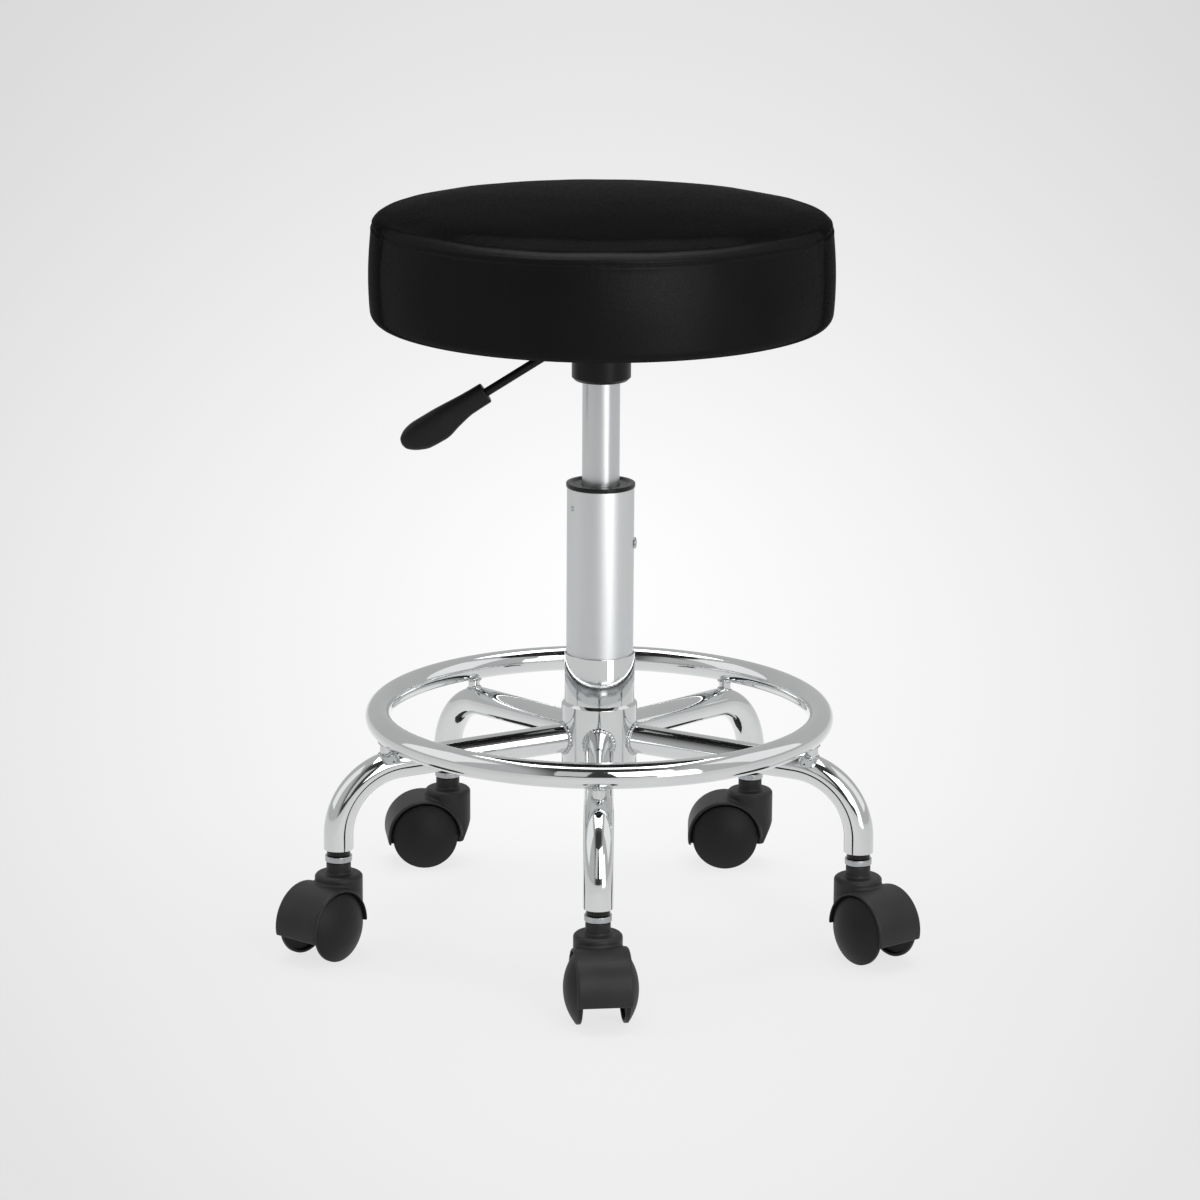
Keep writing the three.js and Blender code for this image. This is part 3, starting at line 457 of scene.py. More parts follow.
def leatherette():
    material, tree, shader, where = finish("black_pvc_leatherette")
    warp = add(tree, "TexNoise", {"Vector": where, "Scale": 1 / (4 * MM), "Detail": 2.0})
    shifted = add(tree, "Mix", {
        "Factor": PEBBLE_WARP, "A": where, "B": warp.outputs["Color"]}, data_type="VECTOR")
    pebbles = add(tree, "TexVoronoi", {
        "Vector": shifted.outputs["Result"], "Scale": 1 / (PEBBLE_MM * MM)}, feature="DISTANCE_TO_EDGE")
    top = spread(tree, pebbles.outputs["Distance"], 0.0, 1.0, 0.0, PEBBLE_CREASE, "SMOOTHSTEP")
    slant = add(tree, "LayerWeight", {"Blend": 0.5}).outputs["Facing"]
    plug(tree, shader, {
        "IOR": 1.5, "Specular IOR Level": spread(tree, slant, 0.12, 0.002, 0.1, 0.7),
        "Base Color": blend(tree, pattern(tree, where, 70, 3.0), [(0.3, "#040404"), (0.7, "#080808")]),
        "Roughness": spread(tree, top, 0.46, 0.34), "Normal": bumps(tree, top, 0.35, 0.12)})
    return material


hide = leatherette()
print("cover finish:", hide.name, "with pebbles of", PEBBLE_MM, "mm")

# %% [markdown]
# The seat board is plywood stained black, so that it doesn't shine through from below. The stain
# sinks deeper into the soft bands of the veneer, whose rings stretch into long pointed arches
# because the veneer is peeled off the log in one sheet.

# %% Finishes: stained plywood and foam
GRAIN_WIDTH_MM = 14
FIBRE_MM = 0.8
FOAM_CELL_MM = 1.5
ALONG_GRAIN, ALONG_FIBRE = (1.0, 0.12, 1.0), (1.0, 0.04, 1.0)


def stained_plywood():
    material, tree, shader, where = finish("stained_plywood")
    bands = pattern(tree, stretched(tree, where, ALONG_GRAIN), GRAIN_WIDTH_MM, 6.0, Distortion=1.2)
    fibre = pattern(tree, stretched(tree, where, ALONG_FIBRE), FIBRE_MM, 2.0)
    plug(tree, shader, {
        "Base Color": blend(tree, bands, [(0.3, "#1b1816"), (0.5, "#2c2724"), (0.7, "#211d1b")]),
        "Roughness": 0.65, "IOR": 1.45, "Normal": bumps(tree, fibre, 0.3, 0.1)})
    return material


def open_cell_foam():
    material, tree, shader, where = finish("open_cell_foam")
    cells = add(tree, "TexVoronoi", {"Vector": where, "Scale": 1 / (FOAM_CELL_MM * MM)}).outputs["Distance"]
    plug(tree, shader, {
        "Base Color": blend(tree, cells, [(0.1, "#f0e4b8"), (0.7, "#d8c88e")]), "Roughness": 0.95})
    return material


plywood, foam = stained_plywood(), open_cell_foam()
print("finishes in all:", len(bpy.data.materials))

# %% [markdown]
# Pieces that nobody sees stay as the CAD model made them: the bearing, the gland and the buffer
# inside the tube, the axles inside the wheels. They only take a proper finish, so that a cut-away
# or an exploded view of the stool still looks right.

# %% Carried-over CAD pieces
PLACES = ("front", "right", "back_right", "back_left", "left")
CARRIED = {
    "rod_gland": collar_plastic, "rubber_buffer": rubber, "seat_board": plywood,
    **{node: zinc for node in ("bearing_race_lower", "bearing_race_upper", "bearing_cage",
                               "release_pin", "lever_pin", *(f"caster_axle_{place}" for place in PLACES))}}
for node, material in CARRIED.items():
    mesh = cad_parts[node].data
    mesh.materials.clear()
    mesh.materials.append(material)
print("carried over:", ", ".join(CARRIED))

# %% [markdown]
# The base is five bent tubes, welded to the hub. Each leg leaves the hub almost level, then turns
# down in one wide bend to the caster. A tube bender gives a true arc, so the path here is a
# straight run, an arc and a short drop, and the round section is carried along it. The lower end
# shows the tube's wall, because the caster's socket sits inside it.

# %% Legs
LEG_WALL = 1.5 * MM
LEG_SLOPE = radians(4)
LEG_BEND = 52 * MM
LEG_ABOVE_HUB_FOOT = 32 * MM
BEND_STEPS = 28
MOUTH_DEPTH = 16 * MM
MOUTH_EDGE = 0.4 * MM
INTO_HUB = 1.5 * MM

leg_radius = extent("leg_front").x / 2
leg_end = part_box("leg_front")[0].z
hub_low, hub_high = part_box("hub")
hub_radius = extent("hub").x / 2
leg_hub_height = hub_low.z + LEG_ABOVE_HUB_FOOT
stems = {place: middle(f"caster_stem_{place}") for place in PLACES}
leg_circle = (Vector((stems["front"].x, stems["front"].y, 0)) - axis).length
bend_start = leg_circle - LEG_BEND + LEG_BEND * sin(LEG_SLOPE)
bend_centre = leg_hub_height - (bend_start - hub_radius) * tan(LEG_SLOPE) - LEG_BEND * cos(LEG_SLOPE)


def leg_line():
    """The leg's middle line from its end up and in to the hub, as (reach, height) points."""
    bend = [(leg_circle - LEG_BEND + LEG_BEND * cos(a), bend_centre + LEG_BEND * sin(a))
            for a in span(0, pi / 2 - LEG_SLOPE, BEND_STEPS)]
    return [(leg_circle, leg_end), *bend,
            (hub_radius - INTO_HUB, leg_hub_height + INTO_HUB * tan(LEG_SLOPE))]


def leg_height(reach):
    """The height of the leg's middle line at a distance from the axis."""
    line = sorted(leg_line())
    return float(np.interp(reach, [p[0] for p in line], [p[1] for p in line]))


def base_place(place):
    """The frame of one leg: reach along X, height along Z."""
    return spot(*axis, atan2(stems[place].y - axis.y, stems[place].x - axis.x))


def leg_tube():
    """Rings from inside the mouth, over the wall's end and up along the outside."""
    bore = leg_radius - LEG_WALL
    ends = [(leg_end + MOUTH_DEPTH, bore), (leg_end + MOUTH_EDGE, bore), (leg_end, bore + MOUTH_EDGE),
            (leg_end, leg_radius - MOUTH_EDGE), (leg_end + MOUTH_EDGE, leg_radius)]
    path = [(leg_circle, z, r) for z, r in ends] + [(x, z, leg_radius) for x, z in leg_line()[1:]]
    rings = []
    for i, (x, z, radius) in enumerate(path):
        before, after = path[i - 1], path[min(i + 1, len(path) - 1)]
        along = Vector((after[0] - before[0], after[1] - before[1])).normalized()
        if i < len(ends):
            along = Vector((0, 1))
        rings.append([(x + along.y * radius * cos(a), radius * sin(a), z - along.x * radius * cos(a))
                      for a in turns(TUBE_SIDES)])
    return mesh_from("leg_tube", *skin(rings))


on_each("leg_tube_{}", leg_tube(), "base", chrome, "leg_{}", base_place)
print("legs:", len(PLACES), "bend starts at reach", mm(bend_start), "mm")

# %% [markdown]
# Inside each leg's mouth sits a black plastic socket with a lip. It grips the caster's stem.

# %% Stem sockets
STEM_BORE = 5.8 * MM
LIP_EDGE = 0.8 * MM
lip_radius = extent("stem_socket_front").y / 2
for place in PLACES:
    low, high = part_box(f"stem_socket_{place}")
    lip = stepped(STEM_BORE, low.z, lip_radius, high.z, STEM_BORE)
    mesh = turned(f"stem_socket_lip_{place}", lip, PIN_SIDES, edge=LIP_EDGE,
                  about=Vector((stems[place].x, stems[place].y, 0)))
    placed(f"stem_socket_lip_{place}", mesh, "base", collar_plastic,
           [f"stem_socket_{place}"])

# %% [markdown]
# The hub is a thick ring of tube that the legs are welded to, with a thinner sleeve standing up
# round the column. Turned pieces start as a half outline; every corner gets a small arc, because
# a chromed edge without one would show as a hard black line.

# %% Hub
HUB_BORE_TAPER = 1.4 * MM
HUB_CHAMFER = 2 * MM
HUB_EDGE = 0.6 * MM
SLEEVE_HEIGHT = 37 * MM
SLEEVE_WALL = 0.9 * MM
PLAY = 0.3 * MM

column_low, column_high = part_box("column_tube")
column_radius = extent("column_tube").x / 2
hub_bore = column_radius + PLAY
hub_shoulder = hub_high.z - SLEEVE_HEIGHT
sleeve_radius = hub_bore + SLEEVE_WALL
lathe("hub_body", [
    (hub_bore - HUB_BORE_TAPER, hub_low.z), (hub_radius - HUB_CHAMFER, hub_low.z),
    (hub_radius, hub_low.z + HUB_CHAMFER), (hub_radius, hub_shoulder - HUB_CHAMFER),
    (hub_radius - HUB_CHAMFER, hub_shoulder), (sleeve_radius, hub_shoulder), (sleeve_radius, hub_high.z),
    (hub_bore, hub_high.z), (hub_bore, hub_shoulder), (hub_bore - HUB_BORE_TAPER, column_low.z),
], "base", chrome, "hub", edge=HUB_EDGE)
print("hub", mm(2 * hub_radius), "mm wide, sleeve to", mm(hub_high.z), "mm")

# %% [markdown]
# The foot ring is one bent tube, butt welded to itself, that stands on five short posts. A post
# runs from the top of a leg to the underside of the ring, and both its ends disappear in a weld.

# %% Foot ring and posts
RING_STEPS = 240
RING_TUBE_RADIUS = 9.5 * MM
RING_HALF_HEIGHT_SHARE = sin(radians(72))
POST_RADIUS = 4.5 * MM
POST_IN_LEG, POST_IN_RING = 3 * MM, 2 * MM
BUTT_WELD_TURN = radians(96)


def closed(points):
    return points + points[:1]


def circle(radius, z, steps):
    """A closed ring of points round the lift's axis."""
    return closed([(axis.x + radius * cos(a), axis.y + radius * sin(a), z) for a in turns(steps)])


ring_radius = extent("foot_ring").x / 2 - RING_TUBE_RADIUS
ring_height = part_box("foot_ring")[1].z - RING_TUBE_RADIUS * RING_HALF_HEIGHT_SHARE
ring_mesh = swept("foot_ring_tube", circle(ring_radius, ring_height, RING_STEPS), RING_TUBE_RADIUS)
placed("foot_ring_tube", ring_mesh, "base", chrome, ["foot_ring"])
post_low = leg_height(ring_radius) + leg_radius - POST_IN_LEG
post_high = ring_height - RING_TUBE_RADIUS + POST_IN_RING
post_mesh = turned("ring_post", stepped(BLUNT, post_low, POST_RADIUS, post_high, BLUNT),
                   PIN_SIDES, looped=False, edge=0, about=Vector((ring_radius, 0, 0)))
on_each("ring_post_{}", post_mesh, "base", chrome, "", base_place)
print("ring", mm(2 * ring_radius), "mm across its tube's middle, posts", len(PLACES))

# %% [markdown]
# A weld bead is a wandering roll of melted steel with a ripple for every dab of the torch. Each
# bead here is a thin tube along the line where two pieces meet, and its radius swells and shrinks
# in step with the dabs. The line itself is worked out from the two round surfaces.

# %% Weld beads
DAB_MM = 2.6
DAB_SWELL, DAB_WANDER, WANDER_SCALE = 0.16, 0.1, 160
LEAST_DABS = 8
BEAD_RADIUS = 1.7 * MM
BEAD_STEPS = 120
BEAD_SIDES = 12
BEAD_SHARP_DEG = 80


def bead(name, line, radius):
    """A closed weld bead along a line of points, rippled once per dab."""
    length = sum((Vector(a) - Vector(b)).length for a, b in zip(line, line[1:]))
    dabs = max(LEAST_DABS, round(length / (DAB_MM * MM)))
    radii = [radius * (1 + DAB_SWELL * sin(2 * pi * dabs * k / len(line)) ** 3
                       + DAB_WANDER * noise.noise(Vector(line[k]) * WANDER_SCALE)) for k in range(len(line))]
    return swept(name, line, radii, sides=BEAD_SIDES)


hub_line = closed([
    (sqrt(hub_radius ** 2 - (leg_radius * cos(a)) ** 2), leg_radius * cos(a),
     leg_hub_height + leg_radius * sin(a) / cos(LEG_SLOPE)) for a in turns(BEAD_STEPS)])
post_ring = [(ring_radius + POST_RADIUS * cos(a), POST_RADIUS * sin(a)) for a in turns(BEAD_STEPS)]
on_leg = closed([(x, y, leg_height(x) + sqrt(leg_radius ** 2 - y ** 2)) for x, y in post_ring])
under_ring = closed([(x, y, ring_height - sqrt(RING_TUBE_RADIUS ** 2 - (hypot(x, y) - ring_radius) ** 2))
                     for x, y in post_ring])
bead_mesh = joined("weld_beads", [
    bead("hub_bead", hub_line, BEAD_RADIUS), bead("leg_bead", on_leg, 0.8 * BEAD_RADIUS),
    bead("ring_bead", under_ring, 0.8 * BEAD_RADIUS)])
soften(bead_mesh, BEAD_SHARP_DEG)
on_each("weld_beads_{}", bead_mesh, "base", weld, "", base_place)

outward = Vector((cos(BUTT_WELD_TURN), sin(BUTT_WELD_TURN), 0))
butt_centre = axis + outward * ring_radius + Vector((0, 0, ring_height))
butt_line = closed([butt_centre + (outward * cos(a) + Vector((0, 0, sin(a)))) * RING_TUBE_RADIUS
                    for a in turns(BEAD_STEPS)])
placed("ring_butt_weld", bead("ring_butt_weld", butt_line, 0.5 * BEAD_RADIUS), "base", weld)
print("weld beads on", len(PLACES), "legs and one butt weld")

# %% [markdown]
# The column is the gas lift's outer tube. It tapers into the hub and ends in a black guide
# bushing that the bright cylinder slides through.

# %% Column and guide bushing
COLUMN_WALL = 2 * MM
COLUMN_TAPER = 1.4 * MM
COLUMN_FLOOR = 4 * MM
ROD_HOLE = 4.3 * MM
BUSHING_RIM = 3 * MM
BUSHING_DISH = 1.2 * MM
BUSHING_EDGE = 0.7 * MM

column_bore = column_radius - COLUMN_WALL
lathe("column_tube_outer", [
    (ROD_HOLE, column_low.z), (column_radius - COLUMN_TAPER, column_low.z), (column_radius, hub_shoulder),
    (column_radius, column_high.z), (column_bore, column_high.z), (column_bore, hub_shoulder),
    (column_bore - COLUMN_TAPER, column_low.z + COLUMN_FLOOR), (ROD_HOLE, column_low.z + COLUMN_FLOOR),
], "base", column_steel, "column_tube")

bushing_low, bushing_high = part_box("guide_bushing")
flange_radius = extent("guide_bushing").x / 2
cylinder_low, cylinder_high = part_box("lift_cylinder")
cylinder_radius = extent("lift_cylinder").x / 2
slide_bore = cylinder_radius + PLAY
lathe("guide_bushing_collar", [
    *stepped(slide_bore, bushing_low.z, column_bore - PLAY, column_high.z, flange_radius, bushing_high.z,
             flange_radius - BUSHING_RIM),
    (flange_radius - 2 * BUSHING_RIM, bushing_high.z - BUSHING_DISH),
    (slide_bore, bushing_high.z - BUSHING_DISH),
], "base", collar_plastic, "guide_bushing", edge=BUSHING_EDGE)
print("column", mm(column_high.z - column_low.z), "mm long")

# %% [markdown]
# Near the column's top a pan head screw holds the bushing, and a small crimp mark shows where the
# tube was staked. The screw's cross is cut out of its dome with two blocks.

# %% Screw and crimp
SCREW_HEAD_RADIUS = 4.5 * MM
SCREW_SHANK = 2 * MM
DOME_CORNERS = 8
CROSS_LENGTH = 5 * MM
CROSS_WIDTH = 1.1 * MM
CROSS_DEPTH = 1.3 * MM
CRIMP_TURN = radians(-146)
CRIMP_BELOW_TOP = 14 * MM
CRIMP_RADIUS = 2 * MM
SCREW_SHARP_DEG = 30
CRIMP_PROFILE = [(POINTED, -0.5 * MM), (CRIMP_RADIUS, -0.5 * MM), (CRIMP_RADIUS, 0.35 * MM),
                 (0.6 * CRIMP_RADIUS, 0.3 * MM), (POINTED, -0.2 * MM)]
SCREW_EDGE, CRIMP_EDGE = 0.15 * MM, 0.3 * MM
SCREW_FULLNESS = 0.8


def boolean(target, cutter, operation="DIFFERENCE"):
    """Cuts or joins two meshes for good and gives the result."""
    base, tool = linked("cut_target", target), linked("cut_tool", cutter)
    modifier = base.modifiers.new("cut", "BOOLEAN")
    modifier.operation, modifier.solver, modifier.object = operation, "EXACT", tool
    result = baked(base)
    bpy.data.objects.remove(tool)
    bpy.data.meshes.remove(cutter)
    return result


def block(name, low, high):
    """A closed block between two corners, as a cutting tool."""
    (x0, y0, z0), (x1, y1, z1) = low, high
    return mesh_from(name, *skin([[(x0, y0, z), (x1, y0, z), (x1, y1, z), (x0, y1, z)] for z in (z0, z1)]))


screw_low, screw_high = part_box("bushing_screw")
head_base = column_radius + PLAY
head_top = screw_high.x - axis.x
dome = [(BLUNT, screw_low.x - axis.x), (SCREW_SHANK, screw_low.x - axis.x), (SCREW_SHANK, head_base),
        (SCREW_HEAD_RADIUS, head_base)]
for angle in span(0, pi / 2, DOME_CORNERS)[1:]:
    dome.append((max(SCREW_HEAD_RADIUS * cos(angle), BLUNT),
                 head_base + (head_top - head_base) * sin(angle) ** SCREW_FULLNESS))
screw_mesh = turned("bushing_screw_head", dome, PIN_SIDES, looped=False, edge=SCREW_EDGE, about=Vector())
for wide, long in ((CROSS_WIDTH, CROSS_LENGTH), (CROSS_LENGTH, CROSS_WIDTH)):
    screw_mesh = boolean(screw_mesh, block("cross", (-wide / 2, -long / 2, head_top - CROSS_DEPTH),
                                           (wide / 2, long / 2, head_top + MM)))
soften(screw_mesh, SCREW_SHARP_DEG)
placed("bushing_screw_head", screw_mesh, "base", zinc, ["bushing_screw"],
       spot(axis.x, axis.y, (screw_low.z + screw_high.z) / 2, pi / 2, "Y"))

crimp_mesh = turned("column_crimp", CRIMP_PROFILE, PIN_SIDES, looped=False, edge=CRIMP_EDGE,
                    about=Vector())
placed("column_crimp", crimp_mesh, "base", zinc, place=spot(
    axis.x, axis.y, column_high.z - CRIMP_BELOW_TOP, CRIMP_TURN) @ spot(column_radius, 0, 0, pi / 2, "Y"))
print("screw head", mm(2 * SCREW_HEAD_RADIUS), "mm wide")

# %% [markdown]
# Inside the column stands the piston rod. Only its end shows, below the hub, held by a clip that
# is pushed into its groove. Both are turned finer here than the CAD model has them.

# %% Piston rod and clip
ROD_END = 4 * MM
ROD_RADIUS = 5 * MM
ROD_COLLAR_RADIUS = 8 * MM
ROD_COLLAR = 4 * MM
PISTON_HEIGHT = 12 * MM
GROOVE = 0.8 * MM
CLIP_RADIUS = 9 * MM
CLIP_INNER = 3.4 * MM
CLIP_MOUTH_DEG = 40
CLIP_STEPS = 48

rod_low, rod_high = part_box("piston_rod")
clip_low, clip_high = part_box("retaining_clip")
collar_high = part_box("rubber_buffer")[0].z
piston_radius = extent("piston_rod").x / 2
lathe("piston_rod_bar", stepped(
    POINTED, rod_low.z, ROD_END, clip_low.z, ROD_END - GROOVE, clip_high.z, ROD_END,
    collar_high - ROD_COLLAR, ROD_COLLAR_RADIUS, collar_high, ROD_RADIUS, rod_high.z - PISTON_HEIGHT,
    piston_radius, rod_high.z, POINTED), "rod", zinc, "piston_rod", TUBE_SIDES, looped=False)

clip_turns = span(radians(CLIP_MOUTH_DEG), radians(360 - CLIP_MOUTH_DEG), CLIP_STEPS)
clip_section = stepped(CLIP_INNER, clip_low.z, CLIP_RADIUS, clip_high.z, CLIP_INNER)
clip_mesh = mesh_from("rod_end_clip", *skin([
    [(axis.x + r * cos(a), axis.y + r * sin(a), z) for r, z in clip_section] for a in clip_turns]))
placed("rod_end_clip", clip_mesh, "rod", zinc, ["retaining_clip"])
print("rod end", mm(column_low.z - rod_low.z), "mm below the column")

# %% [markdown]
# The lift's cylinder is the bright tube that rises with the seat. Its top tapers into the seat
# plate's socket and its lower end carries the gland.

# %% Lift cylinder
CYLINDER_WALL = 2 * MM
CYLINDER_TAPER = 0.7 * MM
VALVE_DEPTH = 20 * MM
PIN_BORE = 3.3 * MM
plate_low, plate_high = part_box("seat_plate")
lathe("lift_cylinder_tube", [
    (cylinder_radius - CYLINDER_WALL, cylinder_low.z), (cylinder_radius, cylinder_low.z),
    (cylinder_radius, plate_low.z),
    *stepped(cylinder_radius - CYLINDER_TAPER, cylinder_high.z, PIN_BORE, cylinder_high.z - VALVE_DEPTH,
             cylinder_radius - CYLINDER_WALL),
], "lift", cylinder_steel, "lift_cylinder")
print("cylinder shows", mm(plate_low.z - bushing_high.z), "mm")

# %% [markdown]
# The seat plate is pressed from sheet steel, with a turned socket welded under it that grips the
# cylinder's taper. A slot in the socket's side lets the lever in. The whole plate is powder coated
# after welding, so its weld bead is as black as the rest.

# %% Seat plate
PLATE_CORNER = 18 * MM
PLATE_SHEET = 2.5 * MM
PLATE_EDGE = 0.6 * MM
CORNER_STEPS = 10
SOCKET_EDGE = 2.5 * MM
SOCKET_ROUND = 0.8 * MM
SOCKET_BEAD = 2 * MM
CHAMBER_RADIUS = 12 * MM
SOCKET_RADIUS = 22 * MM
LEVER_ROD_RADIUS = 3.25 * MM
SLOT_PLAY, SLOT_SIDE_PLAY = 2 * MM, 0.4 * MM

plate_half = extent("seat_plate").x / 2
sheet_low = plate_high.z - PLATE_SHEET
lever_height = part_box("lever_rod")[1].z - LEVER_ROD_RADIUS


def rounded_square(inset, z):
    """A ring of points round the plate's square with round corners."""
    half, corner = plate_half - inset, PLATE_CORNER - inset
    ring = []
    for turn in range(4):
        cx = copysign(half - corner, cos(pi / 2 * (turn + 0.5)))
        cy = copysign(half - corner, sin(pi / 2 * (turn + 0.5)))
        ring += [(axis.x + cx + corner * cos(a), axis.y + cy + corner * sin(a), z)
                 for a in span(pi / 2 * turn, pi / 2 * (turn + 1), CORNER_STEPS)]
    return ring


sheet = mesh_from("plate_sheet", *skin([
    rounded_square(PLATE_EDGE, sheet_low), rounded_square(0, sheet_low + PLATE_EDGE),
    rounded_square(0, plate_high.z - PLATE_EDGE), rounded_square(PLATE_EDGE, plate_high.z)]))
socket = turned("plate_socket", [
    (slide_bore, plate_low.z), (SOCKET_RADIUS - SOCKET_EDGE, plate_low.z),
    (SOCKET_RADIUS, plate_low.z + SOCKET_EDGE),
    *stepped(SOCKET_RADIUS, sheet_low, CHAMBER_RADIUS, cylinder_high.z, slide_bore - CYLINDER_TAPER),
], edge=SOCKET_ROUND)
slot_half, slot_side = LEVER_ROD_RADIUS + SLOT_PLAY, LEVER_ROD_RADIUS + SLOT_SIDE_PLAY
socket = boolean(socket, block(
    "slot", (axis.x - SOCKET_RADIUS - 2 * MM, axis.y - slot_side, lever_height - slot_half),
    (axis.x, axis.y + slot_side, lever_height + slot_half)))
soften(socket)
root = circle(SOCKET_RADIUS, sheet_low, RING_STEPS)
plate_mesh = joined("seat_plate_pressing", [sheet, socket, bead("socket_bead", root, SOCKET_BEAD)])
soften(plate_mesh)
placed("seat_plate_pressing", plate_mesh, "lift", black_steel, ["seat_plate"])
print("seat plate", round(2 * plate_half / MM), "mm square")

# %% [markdown]
# Four hex bolts hold the plate to the board. Their corners are chamfered at thirty degrees, the
# way a bolt maker turns them, which leaves a round face on the six-sided head.

# %% Seat bolts
BOLT_SIDE_STEPS = 6
BOLT_RADIUS = 3 * MM
BOLT_POINT = 0.8 * MM
BOLT_FACE_SHARE, BOLT_CHAMFER_SHARE, BOLT_CHAMFER = 0.93, 1.07, 0.7 * MM
BOLT_SHARP_DEG = 20
bolt_low, bolt_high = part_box("seat_bolt_1")
head_height = sheet_low - bolt_low.z
bolt_length = bolt_high.z - bolt_low.z
head_flat = extent("seat_bolt_1").y / 2


def hex_ring(flat, z, limit):
    """A ring of points round a hexagon, kept within a circle where its corners are turned off."""
    ring = []
    for angle in turns(6 * BOLT_SIDE_STEPS):
        within = (angle + pi / 6) % (pi / 3) - pi / 6
        reach = min(flat / cos(within), limit)
        ring.append((reach * sin(angle), reach * cos(angle), z))
    return ring


bolt_mesh = mesh_from("hex_bolt", *skin([
    hex_ring(head_flat, 0, BOLT_FACE_SHARE * head_flat),
    hex_ring(head_flat, BOLT_CHAMFER, BOLT_CHAMFER_SHARE * head_flat),
    hex_ring(head_flat, head_height, 2 * head_flat), hex_ring(BOLT_RADIUS, head_height, BOLT_RADIUS),
    hex_ring(BOLT_RADIUS, bolt_length - MM, BOLT_RADIUS),
    hex_ring(BOLT_RADIUS, bolt_length, BOLT_RADIUS - BOLT_POINT)]))
soften(bolt_mesh, BOLT_SHARP_DEG)
for number in range(1, 5):
    centre = middle(f"seat_bolt_{number}")
    placed(f"hex_bolt_{number}", bolt_mesh, "lift", zinc, [f"seat_bolt_{number}"],
           spot(centre.x, centre.y, bolt_low.z))
print("bolt heads", mm(2 * head_flat), "mm across flats")

# %% [markdown]
# The lever is a bent steel rod with a moulded handle pushed over its end. It runs level through
# the socket's slot, then slants down to the left, where a hand under the seat finds it. The
# handle is lofted: a row of ovals, from the square-ended sleeve to the flat paddle with a round
# end, with a smooth curve drawn through each of their sizes.

# %% Lever
LEVER_LEVEL_RUN = 18.6 * MM
LEVER_BEND_RADIUS = 8 * MM
LEVER_BEND_STEPS = 16
LEVER_DROP = radians(32.5)
LEVER_SLANT = 100 * MM
LEVER_TIP = 3 * MM
HANDLE_LENGTH = 74 * MM
HANDLE_GRIP = 26 * MM
HANDLE_WIDTH = 24 * MM
HANDLE_THICKNESS = 15 * MM
HANDLE_SAG = 2 * MM
HANDLE_ROUNDNESS = 0.8
HANDLE_SIDES = 56
HANDLE_ROWS_BETWEEN = 7
# each row: place along the handle, width, thickness and sag, as shares of the sizes above
HANDLE_ROWS = [
    (0, 0.36, 0.5, 0), (0.0, 0.6, 0.72, 0), (0.012, 0.67, 0.79, 0), (0.1, 0.68, 0.8, 0),
    (0.22, 0.7, 0.86, 0), (0.4, 0.84, 0.9, 0.4), (0.58, 1, 1, 1), (0.76, 0.98, 1, 0.8),
    (0.87, 0.82, 0.9, 0.35), (0.94, 0.6, 0.7, 0.1), (0.985, 0.33, 0.42, 0), (1, 0.04, 0.06, 0)]

down_left = Vector((-cos(LEVER_DROP), 0, -sin(LEVER_DROP)))
upward = Vector((-sin(LEVER_DROP), 0, cos(LEVER_DROP)))
lever_start = Vector((axis.x, axis.y, lever_height))
lever_path = [lever_start + Vector((LEVER_TIP, 0, 0))]
for angle in span(0, LEVER_DROP, LEVER_BEND_STEPS):
    lever_path.append(lever_start + Vector((-LEVER_LEVEL_RUN - LEVER_BEND_RADIUS * sin(angle), 0,
                                            -LEVER_BEND_RADIUS * (1 - cos(angle)))))
bend_end = lever_path[-1]
lever_path.append(bend_end + down_left * LEVER_SLANT)
placed("lever_bar", swept("lever_bar", lever_path, LEVER_ROD_RADIUS, PIN_SIDES), "lever", black_steel,
       ["lever_rod"])


def through(rows, between):
    """Rows drawn through the given ones by a curve that never swings past them."""
    table = np.array(rows, dtype=float)
    steps = np.diff(table, axis=0)
    product = steps[:-1] * steps[1:]
    slopes = np.zeros_like(table)
    slopes[1:-1] = np.where(product > 0, 2 * product / (steps[:-1] + steps[1:] + 1e-12), 0)
    slopes[0], slopes[-1] = steps[0], steps[-1]
    result = []
    for s in np.linspace(0, len(rows) - 1, (len(rows) - 1) * between + 1):
        i = min(int(s), len(rows) - 2)
        t = s - i
        result.append(table[i] * (1 + 2 * t) * (1 - t) ** 2 + slopes[i] * t * (1 - t) ** 2
                      + table[i + 1] * t * t * (3 - 2 * t) + slopes[i + 1] * t * t * (t - 1))
    return result


def squared(value):
    return copysign(abs(value) ** HANDLE_ROUNDNESS, value)


def handle_ring(along, wide, thick, sag):
    return [(squared(cos(a)) * wide * HANDLE_WIDTH / 2 - sag * HANDLE_SAG,
             squared(sin(a)) * thick * HANDLE_THICKNESS / 2, along * HANDLE_LENGTH)
            for a in turns(HANDLE_SIDES)]


handle_rows = through(HANDLE_ROWS, HANDLE_ROWS_BETWEEN)
handle_mesh = mesh_from("lever_paddle", *skin([handle_ring(*row) for row in handle_rows]))
handle_place = (Matrix.Translation(bend_end + down_left * (LEVER_SLANT - HANDLE_GRIP))
                @ Matrix((upward, Vector((0, 1, 0)), down_left)).transposed().to_4x4())
placed("lever_paddle", handle_mesh, "lever", handle_abs, ["lever_handle"], handle_place)

# %% [markdown]
# A caster's hood is one moulding: an arch over the two wheels, a web between them, and a round
# block that carries the stem. Moulded corners are never sharp, and the blocks flow into each
# other. The hood is therefore cut and joined from plain solids like a wax model, then rebuilt as
# a fine skin (a voxel remesh) and smoothed, which rounds all corners by about a millimetre.

